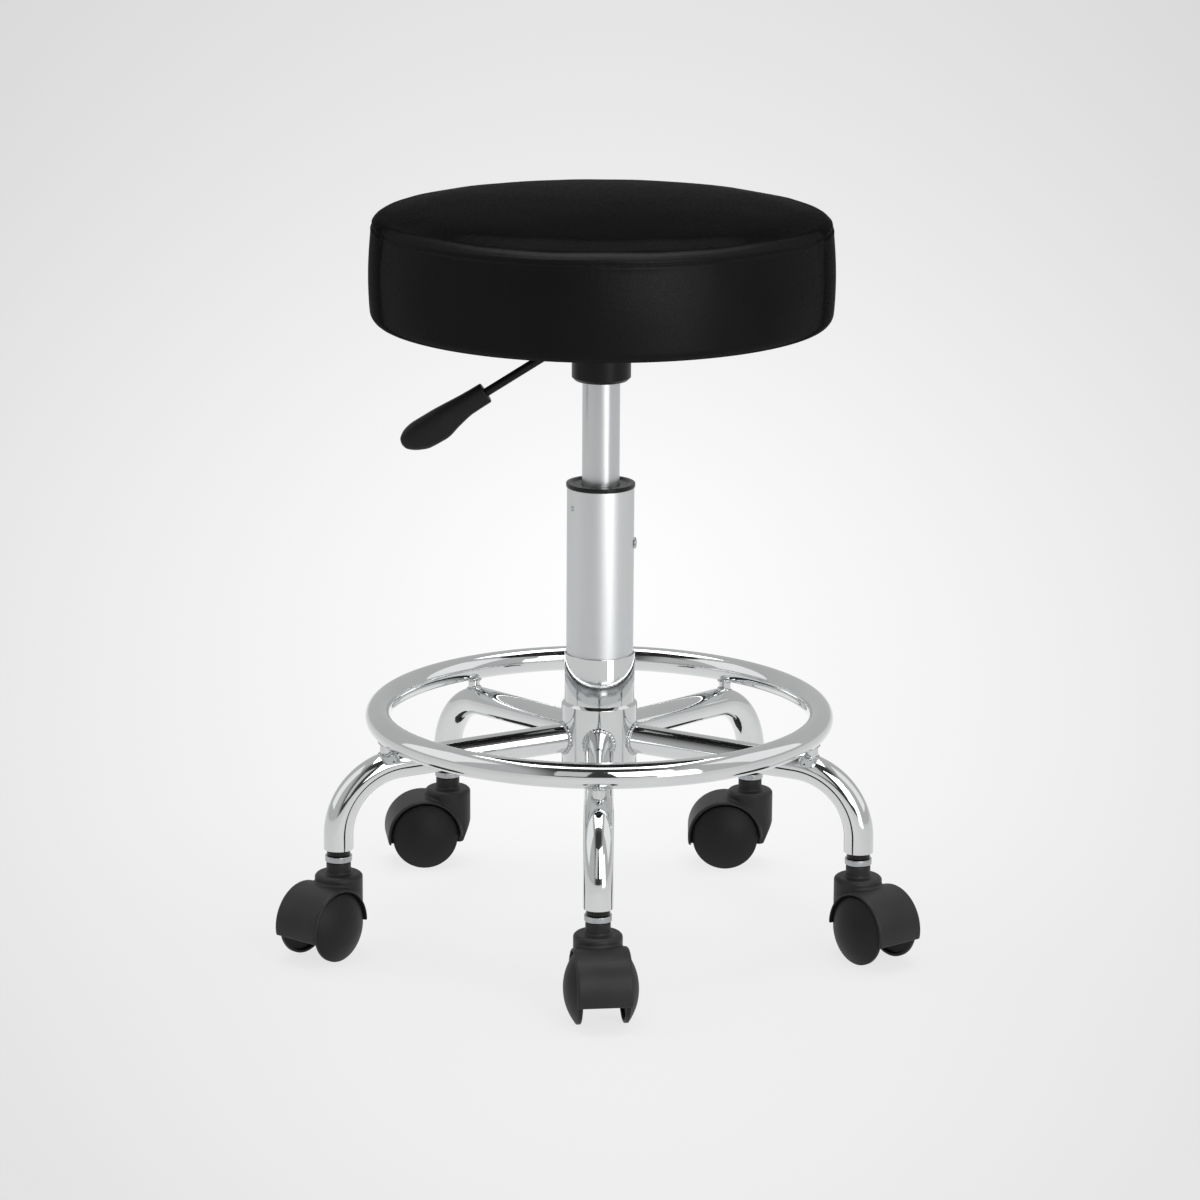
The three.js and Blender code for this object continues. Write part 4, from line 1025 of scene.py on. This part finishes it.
# %% Caster hood
HOOD_WIDTH = 41 * MM
HOOD_RADIUS = 29.4 * MM
HOOD_WALL = 2 * MM
HOOD_RIM_EDGE = 2 * MM
RIM_STEPS = 4
SKIRT_DROP = 6.1 * MM
WEB_WIDTH = 29.8 * MM
POCKET_RADIUS = 27.4 * MM
BOSS_REACH = 7 * MM
COLLAR_RADIUS = 17.9 * MM
COLLAR_EDGE = 2 * MM
COLLAR_ROUND = 1.2 * MM
COLLAR_RISE = 5.8 * MM
NECK_RADIUS = 9.2 * MM
NECK_HEIGHT = 9.2 * MM
HEEL_SLOPE = 15 * MM
HEEL_INSET = 7 * MM
HOOD_VOXEL = 0.7 * MM
HOOD_SMOOTHING = 6
ARC_STEPS = 64

axles = {place: middle(f"caster_axle_{place}") for place in PLACES}
headings = {place: axles[place] - stems[place] for place in PLACES}
trail = hypot(headings["front"].x, headings["front"].y)
axle_height = axles["front"].z
stem_low, stem_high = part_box("caster_stem_front")
collar_top = axle_height + HOOD_RADIUS + COLLAR_RISE
neck_top = collar_top + NECK_HEIGHT
skirt = axle_height - SKIRT_DROP


def caster_place(place):
    """The frame of one caster: its stem on Z, its wheels trailing along X, the floor at zero."""
    return spot(stems[place].x, stems[place].y, 0, atan2(headings[place].y, headings[place].x))


def arc(radius, start, end, steps=ARC_STEPS):
    """Points in the XZ plane round the axle."""
    return [(trail + radius * cos(a), axle_height + radius * sin(a)) for a in span(start, end, steps)]


def upright(name, outline, low, high, edge=0):
    """An outline in the XZ plane given thickness along Y, its rims rounded about the axle."""
    rims = [(edge * (1 - cos(a)), edge * (1 - sin(a))) for a in span(0, pi / 2, RIM_STEPS)]
    rims = rims if edge else [(0, 0)]
    levels = [(inset, high - back) for inset, back in reversed(rims)]
    levels += [(inset, low + back) for inset, back in rims]
    return mesh_from(name, *skin([
        [(trail + (x - trail) * (1 - inset / HOOD_RADIUS), y,
          axle_height + (z - axle_height) * (1 - inset / HOOD_RADIUS)) for x, z in outline]
        for inset, y in levels]))


def remeshed(mesh, voxel, smoothing):
    """Rebuilds a mesh as one even skin of small squares, then eases its steps and corners."""
    body = linked("remeshed", mesh)
    remesh = body.modifiers.new("skin", "REMESH")
    remesh.mode, remesh.voxel_size, remesh.use_smooth_shade = "VOXEL", voxel, True
    if smoothing:
        smooth = body.modifiers.new("ease", "SMOOTH")
        smooth.factor, smooth.iterations = 0.5, smoothing
    return baked(body)


def hood():
    sweep = asin(SKIRT_DROP / HOOD_RADIUS)
    half = HOOD_WIDTH / 2
    shell = upright("arch", arc(HOOD_RADIUS, -sweep, pi) + [(trail - BOSS_REACH, skirt)],
                    -half, half, HOOD_RIM_EDGE)
    collar = turned("collar", rounded(
        stepped(POINTED, skirt, COLLAR_RADIUS, collar_top - COLLAR_EDGE)
        + stepped(COLLAR_RADIUS - COLLAR_EDGE, collar_top, NECK_RADIUS, neck_top, POINTED),
        COLLAR_ROUND, closed=False), ARC_STEPS, looped=False, edge=0, about=Vector())
    past, inset = COLLAR_RADIUS + MM, HEEL_INSET - COLLAR_RADIUS
    heel = mesh_from("heel", *skin([[(x, y, z) for x, z in (
        (-past, skirt - MM), (inset, skirt - MM), (inset, skirt), (-COLLAR_RADIUS, skirt + HEEL_SLOPE),
        (-past, skirt + HEEL_SLOPE))] for y in (-past, past)]))
    body = boolean(shell, boolean(collar, heel), "UNION")
    pocket = arc(POCKET_RADIUS, 0, 2 * pi)[:-1]
    for low, high in ((WEB_WIDTH / 2, half + MM), (-half - MM, -WEB_WIDTH / 2)):
        body = boolean(body, upright("pocket", pocket, low, high))
    inner = HOOD_RADIUS - HOOD_WALL
    web = WEB_WIDTH / 2 - HOOD_WALL
    inside = arc(inner, -asin((SKIRT_DROP + MM) / inner), acos(BOSS_REACH / inner), ARC_STEPS // 2)
    hollow = upright("hollow", inside + [(trail + BOSS_REACH, skirt - MM)], -web, web)
    return remeshed(boolean(body, hollow), HOOD_VOXEL, HOOD_SMOOTHING)


hood_mesh = hood()
hood_mesh.name = "caster_hood"
on_each("caster_arch_{}", hood_mesh, "caster_{}", hood_nylon, "caster_hood_{}", caster_place)
print("hood skin:", len(hood_mesh.polygons), "faces, trail", mm(trail), "mm")

# %% [markdown]
# The stem is turned steel: a pin that snaps into the leg's socket, over a flange whose bright
# edge is all that shows between the tube and the plastic.

# %% Caster stem
STEM_RADIUS = 5.5 * MM
STEM_FLANGE_RADIUS = 10 * MM
STEM_FLANGE = 4.6 * MM
STEM_GROOVE = 0.7 * MM
STEM_POINT = 2 * MM
STEM_EDGE = 0.5 * MM
STEM_LIFT = 0.1 * MM

stem_foot, stem_top = neck_top + STEM_LIFT, stem_high.z
stem_mesh = turned("caster_stem_pin", [
    *stepped(POINTED, stem_low.z, STEM_RADIUS, stem_foot, STEM_FLANGE_RADIUS, neck_top + STEM_FLANGE,
             STEM_RADIUS), (STEM_RADIUS, stem_top - 4 * STEM_POINT),
    (STEM_RADIUS - STEM_GROOVE, stem_top - 3.6 * STEM_POINT),
    (STEM_RADIUS - STEM_GROOVE, stem_top - 2.4 * STEM_POINT), (STEM_RADIUS, stem_top - 2 * STEM_POINT),
    (STEM_RADIUS, stem_top - STEM_POINT), (STEM_RADIUS - STEM_POINT, stem_top), (POINTED, stem_top),
], TUBE_SIDES, looped=False, edge=STEM_EDGE, about=Vector())
on_each("caster_stem_pin_{}", stem_mesh, "caster_{}", zinc, "caster_stem_{}", caster_place)
print("stem flange", mm(2 * STEM_FLANGE_RADIUS), "mm wide")

# %% [markdown]
# Each wheel is a nylon shell with a narrow tread and a domed outer face. Its inner face is cored
# out to save plastic, which shows only from below.

# %% Wheels
WHEEL_TREAD = 3 * MM
WHEEL_DOME = 8.6 * MM
WHEEL_GAP = 31 * MM
WHEEL_BORE = 3.2 * MM
BORE_END_WALL = 3 * MM
WHEEL_BOSS = 7 * MM
WHEEL_SHELL = 2.2 * MM
WHEEL_EDGE = 0.5 * MM
CORE_DEPTH = 4 * MM
DOME_STEPS = 28
DOME_FULLNESS = 2.2
DOME_ROUNDNESS = 0.8
WHEEL_ROUND = 0.8 * MM

wheel_radius = axle_height
bore_end = WHEEL_TREAD + WHEEL_DOME - BORE_END_WALL
shell_inside = wheel_radius - WHEEL_SHELL
dome_shares = [cos(a) ** DOME_ROUNDNESS for a in span(0, pi / 2, DOME_STEPS)[1:]]
wheel_mesh = turned("caster_wheel", [
    *stepped(POINTED, bore_end, WHEEL_BORE, 0, WHEEL_BOSS),
    (WHEEL_BOSS + WHEEL_EDGE, CORE_DEPTH), (shell_inside - WHEEL_EDGE, 0.7 * CORE_DEPTH), (shell_inside, 0),
    (wheel_radius - WHEEL_EDGE, 0), (wheel_radius, WHEEL_EDGE), (wheel_radius, 0.7 * WHEEL_TREAD),
    *((max(wheel_radius * share, POINTED), WHEEL_TREAD + WHEEL_DOME * (1 - share ** DOME_FULLNESS))
      for share in dome_shares)], FINE_SIDES, looped=False, edge=WHEEL_ROUND, about=Vector())
for place in PLACES:
    for side, turn in (("left", 0), ("right", pi)):
        wheel_place = (caster_place(place) @ spot(trail, 0, axle_height, turn)
                       @ spot(0, WHEEL_GAP / 2, 0, -pi / 2, "X"))
        placed(f"caster_wheel_{place}_{side}", wheel_mesh, f"wheel_{place}_{side}", wheel_nylon,
               [f"wheel_{place}_{side}"], wheel_place)
print("wheels:", 2 * len(PLACES), "of", mm(2 * wheel_radius), "mm")

# %% [markdown]
# The cushion is the stool's largest piece. A real one is a block of foam on the board, with the
# cover sewn from a round top panel and an upright band, pulled tight over it and stapled below.
# The foam pushes the cover out, so the panel domes and the band bellies. A cloth simulation does
# the same: a slightly small form is blown up under pressure, and held still where it is stapled.
# The real cover is taut, so the moves are scaled until they just make up for the small form.

# %% Cushion form and its inflation
SEAT_RADIUS = 172.5 * MM
SEAT_SIDE = 79 * MM
SEAT_CROWN = 10 * MM
SEAT_CROWN_RISE = 2.5 * MM
SEAT_DRAW_IN = 1.4 * MM
BELLY_ROUNDNESS, LEAN_POWER = 0.8, 6
SEAT_TOP_ROUND = 10.5 * MM
SEAT_BOTTOM_ROUND = 10 * MM
SEAM_BELOW_TOP = 9 * MM
SEAT_TIP = 0.5 * MM
LIP_REACH = 25 * MM
BOARD_INSET = 14 * MM
FORM_SHRINK = 1.6 * MM
FORM_VOXEL = 5 * MM
HELD_HEIGHT = 3 * MM
PRESSURE = 4.0
CLOTH_QUALITY = 6
INFLATE_FRAMES = 20
MOST_SWELL = 6 * MM

seat_low, seat_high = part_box("seat_cover")
seat_bottom = seat_low.z
seat_edge_top = seat_bottom + SEAT_SIDE
seam_height = seat_edge_top - SEAM_BELOW_TOP
wall = SEAT_RADIUS - SEAT_DRAW_IN


def seat_outline(inset, steps=14):
    """The cushion's half outline from the board's underside up to the middle of the crown."""
    shares = span(0, 1, 2 * steps)[1:]
    line = [(wall - SEAT_BOTTOM_ROUND + (SEAT_BOTTOM_ROUND - inset) * cos(a),
             seat_bottom + SEAT_BOTTOM_ROUND + (SEAT_BOTTOM_ROUND - inset) * sin(a))
            for a in span(-pi / 2, 0, steps)]
    foot = line[-1][1]
    start = asin((SEAT_TOP_ROUND - SEAM_BELOW_TOP) / SEAT_TOP_ROUND)
    lean = SEAT_TOP_ROUND * (1 - cos(start))
    line += [(wall - inset + SEAT_DRAW_IN * sin(pi * t) ** BELLY_ROUNDNESS - lean * t ** LEAN_POWER,
              foot + (seam_height - foot) * t) for t in shares]
    line += [(wall - SEAT_TOP_ROUND + (SEAT_TOP_ROUND - inset) * cos(a),
              seat_edge_top - SEAT_TOP_ROUND + (SEAT_TOP_ROUND - inset) * sin(a))
             for a in span(start, pi / 2, 2 * steps)[1:]]
    line += [(max((wall - SEAT_TOP_ROUND) * (1 - t), SEAT_TIP),
              seat_edge_top - inset + SEAT_CROWN * (1 - (1 - t) ** 2)) for t in shares]
    return line


def positions(mesh):
    return np.array([v.co[:] for v in mesh.vertices])


def inflated(form):
    """Blows the form up as cloth under pressure, held at its underside, and gives each move."""
    start = positions(form)
    body = linked("inflated", form)
    held = body.vertex_groups.new(name="held")
    held.add([v.index for v in form.vertices if v.co.z < seat_bottom + HELD_HEIGHT], 1.0, "REPLACE")
    cloth = body.modifiers.new("cloth", "CLOTH")
    cloth.settings.use_pressure = True
    cloth.settings.uniform_pressure_force = PRESSURE
    cloth.settings.effector_weights.gravity = 0
    cloth.settings.vertex_group_mass = "held"
    cloth.settings.quality = CLOTH_QUALITY
    cloth.collision_settings.use_collision = False
    for number in range(1, INFLATE_FRAMES + 1):
        bpy.context.scene.frame_set(number)
    swollen = baked(body)
    bpy.context.scene.frame_set(1)
    moves = positions(swollen) - start
    bpy.data.meshes.remove(swollen)
    length = np.linalg.norm(moves, axis=1, keepdims=True)
    moves *= np.minimum(1, MOST_SWELL / np.maximum(length, 1e-9))
    free = moves[start[:, 2] > seat_bottom + SEAT_BOTTOM_ROUND]
    moves *= FORM_SHRINK / max(float(np.median(np.linalg.norm(free, axis=1))), MM)
    return start, moves


form_line = [(SEAT_TIP, seat_bottom + FORM_SHRINK)] + seat_outline(FORM_SHRINK)
form = turned("cushion_form", form_line, FINE_SIDES, looped=False, edge=0)
places, moves = inflated(remeshed(form, FORM_VOXEL, 0))
print("cushion swelled by up to", round(float(np.linalg.norm(moves, axis=1).max()) / MM, 2), "mm")

# %% [markdown]
# The swollen form is a coarse mesh, fine for physics and too rough for a portrait. So only its
# moves are kept. A fine skin is drawn over the cushion's true outline, and each of its points
# moves as the nearest points of the form did. Its rows lie close together at the seam and on the
# rounds, and wide apart on the flats.

# %% Cushion skin
SKIN_SIDES = 720
COVER_THICKNESS = 1.2 * MM
NEAR_SEAM, NEAR_SEAM_STEP = 6 * MM, 0.4 * MM
ROUND_REACH, ROUND_STEP = 16 * MM, 1.4 * MM
UNDER_REACH = 15 * MM
FAR_STEP = 4 * MM
NEIGHBOURS = 60
OUTER_STEPS, INNER_STEPS, FOAM_STEPS = 40, 20, 12
NEAR_BLEND = 25 * MM

tree = KDTree(0 if places is None else len(places))
for i, p in enumerate(() if places is None else places):
    tree.insert(p, i)
tree.balance()


def stations(line, fine):
    """The outline resampled, each row with its distance from the seam along the outline."""
    table = np.array(line)
    lengths = np.concatenate([[0], np.cumsum(np.hypot(*np.diff(table, axis=0).T))])
    at_seam = float(np.interp(seam_height, table[:, 1], lengths)) if fine else 0
    result, at = [], 0.0
    while at < lengths[-1]:
        r, z = (float(np.interp(at, lengths, table[:, i])) for i in (0, 1))
        result.append((r, z, at - at_seam))
        on_round = r > wall - 1.2 * SEAT_TOP_ROUND and abs(z - seam_height) < ROUND_REACH
        step = ROUND_STEP if on_round or z < seat_bottom + UNDER_REACH else FAR_STEP
        at += NEAR_SEAM_STEP if fine and abs(at - at_seam) < NEAR_SEAM else step
    return result + [(*line[-1], lengths[-1] - at_seam)]


def move_of(point):
    """How the inflation moves a point, from the nearest points of the form."""
    near = tree.find_n(point, NEIGHBOURS)
    weights = np.array([1 / (d + NEAR_BLEND) ** 2 for _, _, d in near])
    return (moves[[j for _, j, _ in near]] * weights[:, None]).sum(0) / weights.sum()


def swell(line, sides):
    """A grid of points round the axis, each moved as the form was."""
    angles = np.array(turns(sides))
    r, z = (np.array([p[i] for p in line])[:, None] for i in (0, 1))
    grid = np.stack([axis.x + r * np.cos(angles), axis.y + r * np.sin(angles), z + 0 * angles], axis=-1)
    if places is None:
        return grid
    return grid + np.array([move_of(p) for p in grid.reshape(-1, 3)]).reshape(grid.shape)


def cover_line(inset, steps, fine):
    start = (SEAT_RADIUS - BOARD_INSET - LIP_REACH, seat_bottom + inset)
    return stations([start] + seat_outline(inset, steps), fine)


outer_line = cover_line(FORM_SHRINK, OUTER_STEPS, True)
outer = swell(outer_line, SKIN_SIDES)
bottom, top = outer[..., 2].min(), outer[..., 2].max()
wide = SEAT_RADIUS / np.hypot(outer[..., 0] - axis.x, outer[..., 1] - axis.y).max()
tall = (seat_high.z + SEAT_CROWN_RISE - seat_bottom) / (top - bottom)


def fitted(grid):
    """The swollen grid brought to the measured width and height of the seat."""
    centre = np.array([axis.x, axis.y, bottom])
    return (grid - centre) * [wide, wide, tall] + [axis.x, axis.y, seat_bottom]


outer = fitted(outer)
inner = fitted(swell(cover_line(FORM_SHRINK + COVER_THICKNESS, INNER_STEPS, False), SKIN_SIDES))
print("cushion skin:", outer.shape[0], "rows; fitted by", round(wide, 4), "and", round(tall, 4))

# %% [markdown]
# The seam is a groove where the two panels are sewn, nipped at every stitch, between two low
# rolls. Small gathers lie beside it, where the cloth has to turn, and the band is a little uneven
# all the way round. Below the board the cover's edge lies in folds.

# %% Seam, cover and foam
FOAM_SIDES = 180
FOAM_GAP = 0.35 * MM
STITCH_MM = 6
NIP_SHARE = 0.25
SEAM_DEPTH = 0.8 * MM
SEAM_HALF_WIDTH = 1.1 * MM
PANEL_ROLL, ROLL_PLACE, ROLL_WIDTH = 0.3 * MM, 2.6 * MM, 1.5 * MM
GATHER_MM = 14
GATHER_DEPTH = 0.4 * MM
GATHER_REACH = 9 * MM
GATHER_ABOVE = 0.7
# noise round the seat: how fine (or how much finer), and the slice it is read from
UNEVEN_NOISE, FOLD_NOISE = (2.2, 1.7), (9, 7.7)
GATHER_NOISE, SMALL_GATHER_NOISE, SMALL_GATHERS = (1, 4.2), (2.3, 9.1), 0.6
UNEVEN_DEPTH, UNEVEN_REACH = 0.5 * MM, 60 * MM
FOLD_DEPTH, FOLD_HEIGHT = 1.6 * MM, 4 * MM
FOLD_EDGE, FOLD_START, FOLD_RUN = 14 * MM, 16 * MM, 10 * MM
COVER_SHARP_DEG = 60


def wander(angles, scale, height):
    """Smooth noise round a circle of that size; each height gives another pattern."""
    return np.array([noise.noise(Vector((cos(a) * scale, sin(a) * scale, height))) for a in angles])


def sewn(grid, line):
    """Presses the seam, its stitches and its gathers into the outer skin."""
    result = grid.copy()
    angles = np.array(turns(grid.shape[1]))
    nip = 0.5 + 0.5 * np.cos(angles * round(2 * pi * SEAT_RADIUS / (STITCH_MM * MM)))
    around = SEAT_RADIUS / (GATHER_MM * MM)
    gather, small = (wander(angles, finer * around, height)
                     for finer, height in (GATHER_NOISE, SMALL_GATHER_NOISE))
    gather += SMALL_GATHERS * small
    unevenness = wander(angles, *UNEVEN_NOISE)
    fold = np.maximum(0, wander(angles, *FOLD_NOISE))
    for i, (r, z, s) in enumerate(line):
        if z < seat_bottom + FOLD_HEIGHT:
            inward = np.clip((SEAT_RADIUS - FOLD_START - r) / FOLD_RUN, 0, 1)
            result[i, :, 2] -= FOLD_DEPTH * fold * inward * (r < SEAT_RADIUS - FOLD_EDGE)
            continue
        before, after = line[max(i - 1, 0)], line[min(i + 1, len(line) - 1)]
        along = Vector((after[0] - before[0], after[1] - before[1])).normalized()
        push = (-SEAM_DEPTH * exp(-(s / SEAM_HALF_WIDTH) ** 2) * (1 - NIP_SHARE + NIP_SHARE * nip)
                + PANEL_ROLL * exp(-((abs(s) - ROLL_PLACE) / ROLL_WIDTH) ** 2)
                + GATHER_DEPTH * gather * exp(-abs(s) / GATHER_REACH) * (1 if s < 0 else GATHER_ABOVE)
                + UNEVEN_DEPTH * unevenness * exp(-abs(s) / UNEVEN_REACH))
        result[i] += np.stack([np.cos(angles) * along.y, np.sin(angles) * along.y,
                               0 * angles - along.x], axis=-1) * push[:, None]
    return result


def rings_of(grid):
    return [[tuple(p) for p in row] for row in grid]


cover_rings = rings_of(sewn(outer, outer_line)) + rings_of(inner)[::-1]
cover_mesh = mesh_from("cushion_cover", *skin(cover_rings, looped=True))
soften(cover_mesh, COVER_SHARP_DEG)
cushion = placed("cushion_cover", cover_mesh, "lift", hide, ["seat_cover"])

foam_inset = FORM_SHRINK + COVER_THICKNESS + FOAM_GAP
board_edge, board_top = SEAT_RADIUS - BOARD_INSET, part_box("seat_board")[1].z
foam_line = [(SEAT_TIP, board_top + FOAM_GAP), (board_edge + FOAM_GAP, board_top + FOAM_GAP),
             (board_edge + FOAM_GAP, seat_bottom + foam_inset)]
foam_line += [p for p in seat_outline(foam_inset, FOAM_STEPS)
              if p[0] > board_edge + MM or p[1] > board_top + MM]
foam_mesh = mesh_from("cushion_foam", *skin(rings_of(fitted(swell(foam_line, FOAM_SIDES)))))
padding = placed("cushion_foam", foam_mesh, "lift", foam, ["seat_foam"])
print("cover:", len(cover_mesh.polygons), "faces; foam:", len(foam_mesh.polygons))

# %% [markdown]
# Below the board the cover's edge is held by a row of wire staples, shot in by a pneumatic gun,
# so they sit a little askew.

# %% Staples
STAPLE_COUNT = 52
STAPLE_CIRCLE = 142 * MM
STAPLE_WIDTH = 10 * MM
STAPLE_WIRE = 0.55 * MM
STAPLE_ASKEW, ASKEW_STEP = 0.3, 1.7
STAPLE_RISE, STAPLE_SINK = 1.5 * MM, 0.4 * MM
STAPLE_CORNER, STAPLE_SIDES = 0.93, 8

staples = []
for k, angle in enumerate(turns(STAPLE_COUNT)):
    askew = angle + pi / 2 + STAPLE_ASKEW * noise.noise(Vector((k * ASKEW_STEP, 0, 0)))
    centre = axis + Vector((STAPLE_CIRCLE * cos(angle), STAPLE_CIRCLE * sin(angle), seat_bottom))
    reach = Vector((cos(askew), sin(askew), 0)) * STAPLE_WIDTH / 2
    wire = [centre + reach * share + Vector((0, 0, lift)) for share, lift in (
        (-1, STAPLE_RISE), (-1, -STAPLE_SINK / 2), (-STAPLE_CORNER, -STAPLE_SINK),
        (STAPLE_CORNER, -STAPLE_SINK), (1, -STAPLE_SINK / 2), (1, STAPLE_RISE))]
    staples.append(swept(f"staple_{k}", wire, STAPLE_WIRE, STAPLE_SIDES))
placed("cover_staples", joined("cover_staples", staples), "lift", zinc)
print("staples:", STAPLE_COUNT)

# %% [markdown]
# The stool stands on a seamless pale sweep of paper. Its colour carries a painted pool of light:
# nearly white behind the stool, fading towards the picture's edges. Seen straight on and in
# mirrors it mostly glows with that painted light instead of being lit, and the small rest of it takes the
# stool's shadow.

# %% Floor
FLOOR_HALF = 14
FLOOR_SIDES = 64
PAPER_GLOW = 0.88
# painted pool of light: its depth is counted from this far in front of the stool, and the next value is
# where it is palest, as one over that depth
PAPER_BEHIND = 3.5
PAPER_LIGHT_POOL_CENTRE = 0.214
PAPER_TOOTH_MM = 4


def studio_paper():
    material, tree, shader, where = finish("studio_paper")
    parts = add(tree, "SeparateXYZ", {"Vector": where})
    depth = combine(tree, "ADD", parts.outputs["Y"], PAPER_BEHIND)
    across = combine(tree, "DIVIDE", parts.outputs["X"], depth)
    along = combine(tree, "SUBTRACT", combine(tree, "DIVIDE", 1.0, depth), PAPER_LIGHT_POOL_CENTRE)
    spot = add(tree, "CombineXYZ", {"X": across, "Y": along}).outputs["Vector"]
    away = add(tree, "VectorMath", {0: spot}, operation="LENGTH").outputs["Value"]
    # painted pool of light: the paper's colour is palest near the stool and greyer towards the edges
    tone = blend(tree, away, [(0.0, "#fdfdfd"), (0.06, "#f3f3f3"), (0.17, "#dfdfdf")])
    plug(tree, shader, {"Roughness": 0.9, "IOR": 1.3, "Base Color": tone,
                        "Normal": bumps(tree, pattern(tree, where, PAPER_TOOTH_MM, 2.0), 0.05, 0.1)})
    # painted light: camera and mirror rays see mostly this glow rather than the lit paper
    glow = add(tree, "Emission", {"Color": tone}).outputs["Emission"]
    ray = add(tree, "LightPath").outputs
    seen = combine(tree, "MAXIMUM", ray["Is Camera Ray"], ray["Is Glossy Ray"])
    mixed = add(tree, "MixShader", {
        "Fac": combine(tree, "MULTIPLY", seen, PAPER_GLOW), 1: shader.outputs["BSDF"], 2: glow})
    output = next(node for node in tree.nodes if node.type == "OUTPUT_MATERIAL")
    plug(tree, output, {"Surface": mixed.outputs["Shader"]})
    return material


floor_mesh = bpy.data.meshes.new("studio_floor")
floor_mesh.from_pydata([(FLOOR_HALF * cos(a), FLOOR_HALF * sin(a), 0) for a in turns(FLOOR_SIDES)],
                       [], [tuple(range(FLOOR_SIDES))])
floor_mesh.materials.append(studio_paper())
floor = linked("studio_floor", floor_mesh)
print("floor", 2 * FLOOR_HALF, "m across")

# %% [markdown]
# The light is that of a catalogue shot. One large lamp hangs overhead for the even light, one
# tall lamp stands at the right front and draws the bright line down the column, and weak ones
# fill the left and the sides. The room is pale, but for a dark gap on the camera's side, which
# the chrome mirrors as its dark lines.

# %% World and lamps
ROOM_DARK = 0.05
ROOM_PALE = 0.55
GAP_AHEAD = (-0.35, 0.05)
GAP_SIDES = (0.25, 0.6)
# each lamp: azimuth in degrees from the camera's side to the right, distance, height, width,
# tall side and radiance
LAMPS = {
    "overhead_softbox": (180, 0.3, 2.6, 2.0, 2.0, 4.5),
    "key_softbox": (22, 2.4, 1.3, 1.3, 1.8, 3.9),
    "strip_softbox": (36, 1.1, 0.36, 0.4, 0.7, 1.8),
    "front_fill": (-13, 2.4, 1.3, 0.7, 1.8, 0.6),
    "left_panel": (-90, 2.4, 1.7, 2.0, 2.4, 0.5),
    "right_panel": (95, 2.4, 1.7, 2.0, 2.4, 0.5)}
LAMP_TARGET = Vector((axis.x, axis.y, 0.3))

world = bpy.data.worlds.new("studio_room")
bpy.context.scene.world = world
world.use_nodes = True
room = world.node_tree
room.nodes.clear()
parts = add(room, "SeparateXYZ", {"Vector": add(room, "TexCoord").outputs["Generated"]})
ahead = spread(room, parts.outputs["Y"], 1.0, 0.0, *GAP_AHEAD, "SMOOTHSTEP")
sideways = combine(room, "ABSOLUTE", parts.outputs["X"])
gap = combine(room, "MULTIPLY", ahead, spread(room, sideways, 1.0, 0.0, *GAP_SIDES, "SMOOTHSTEP"))
sky = add(room, "Background", {
    "Color": (1.0, 1.0, 1.0, 1.0), "Strength": spread(room, gap, ROOM_PALE, ROOM_DARK)})
add(room, "OutputWorld", {"Surface": sky.outputs["Background"]})

for name, (azimuth, distance, height, width, tall_side, radiance) in LAMPS.items():
    data = bpy.data.lights.new(name, "AREA")
    data.shape = "RECTANGLE"
    data.size, data.size_y = width, tall_side
    data.energy = radiance * pi * width * tall_side
    light = linked(name, data)
    turn = radians(azimuth)
    light.location = (axis.x + distance * sin(turn), axis.y - distance * cos(turn), height)
    light.rotation_euler = (LAMP_TARGET - light.location).to_track_quat("-Z", "Y").to_euler()
bpy.context.scene.view_settings.view_transform = "Standard"
print("lamps:", ", ".join(LAMPS))
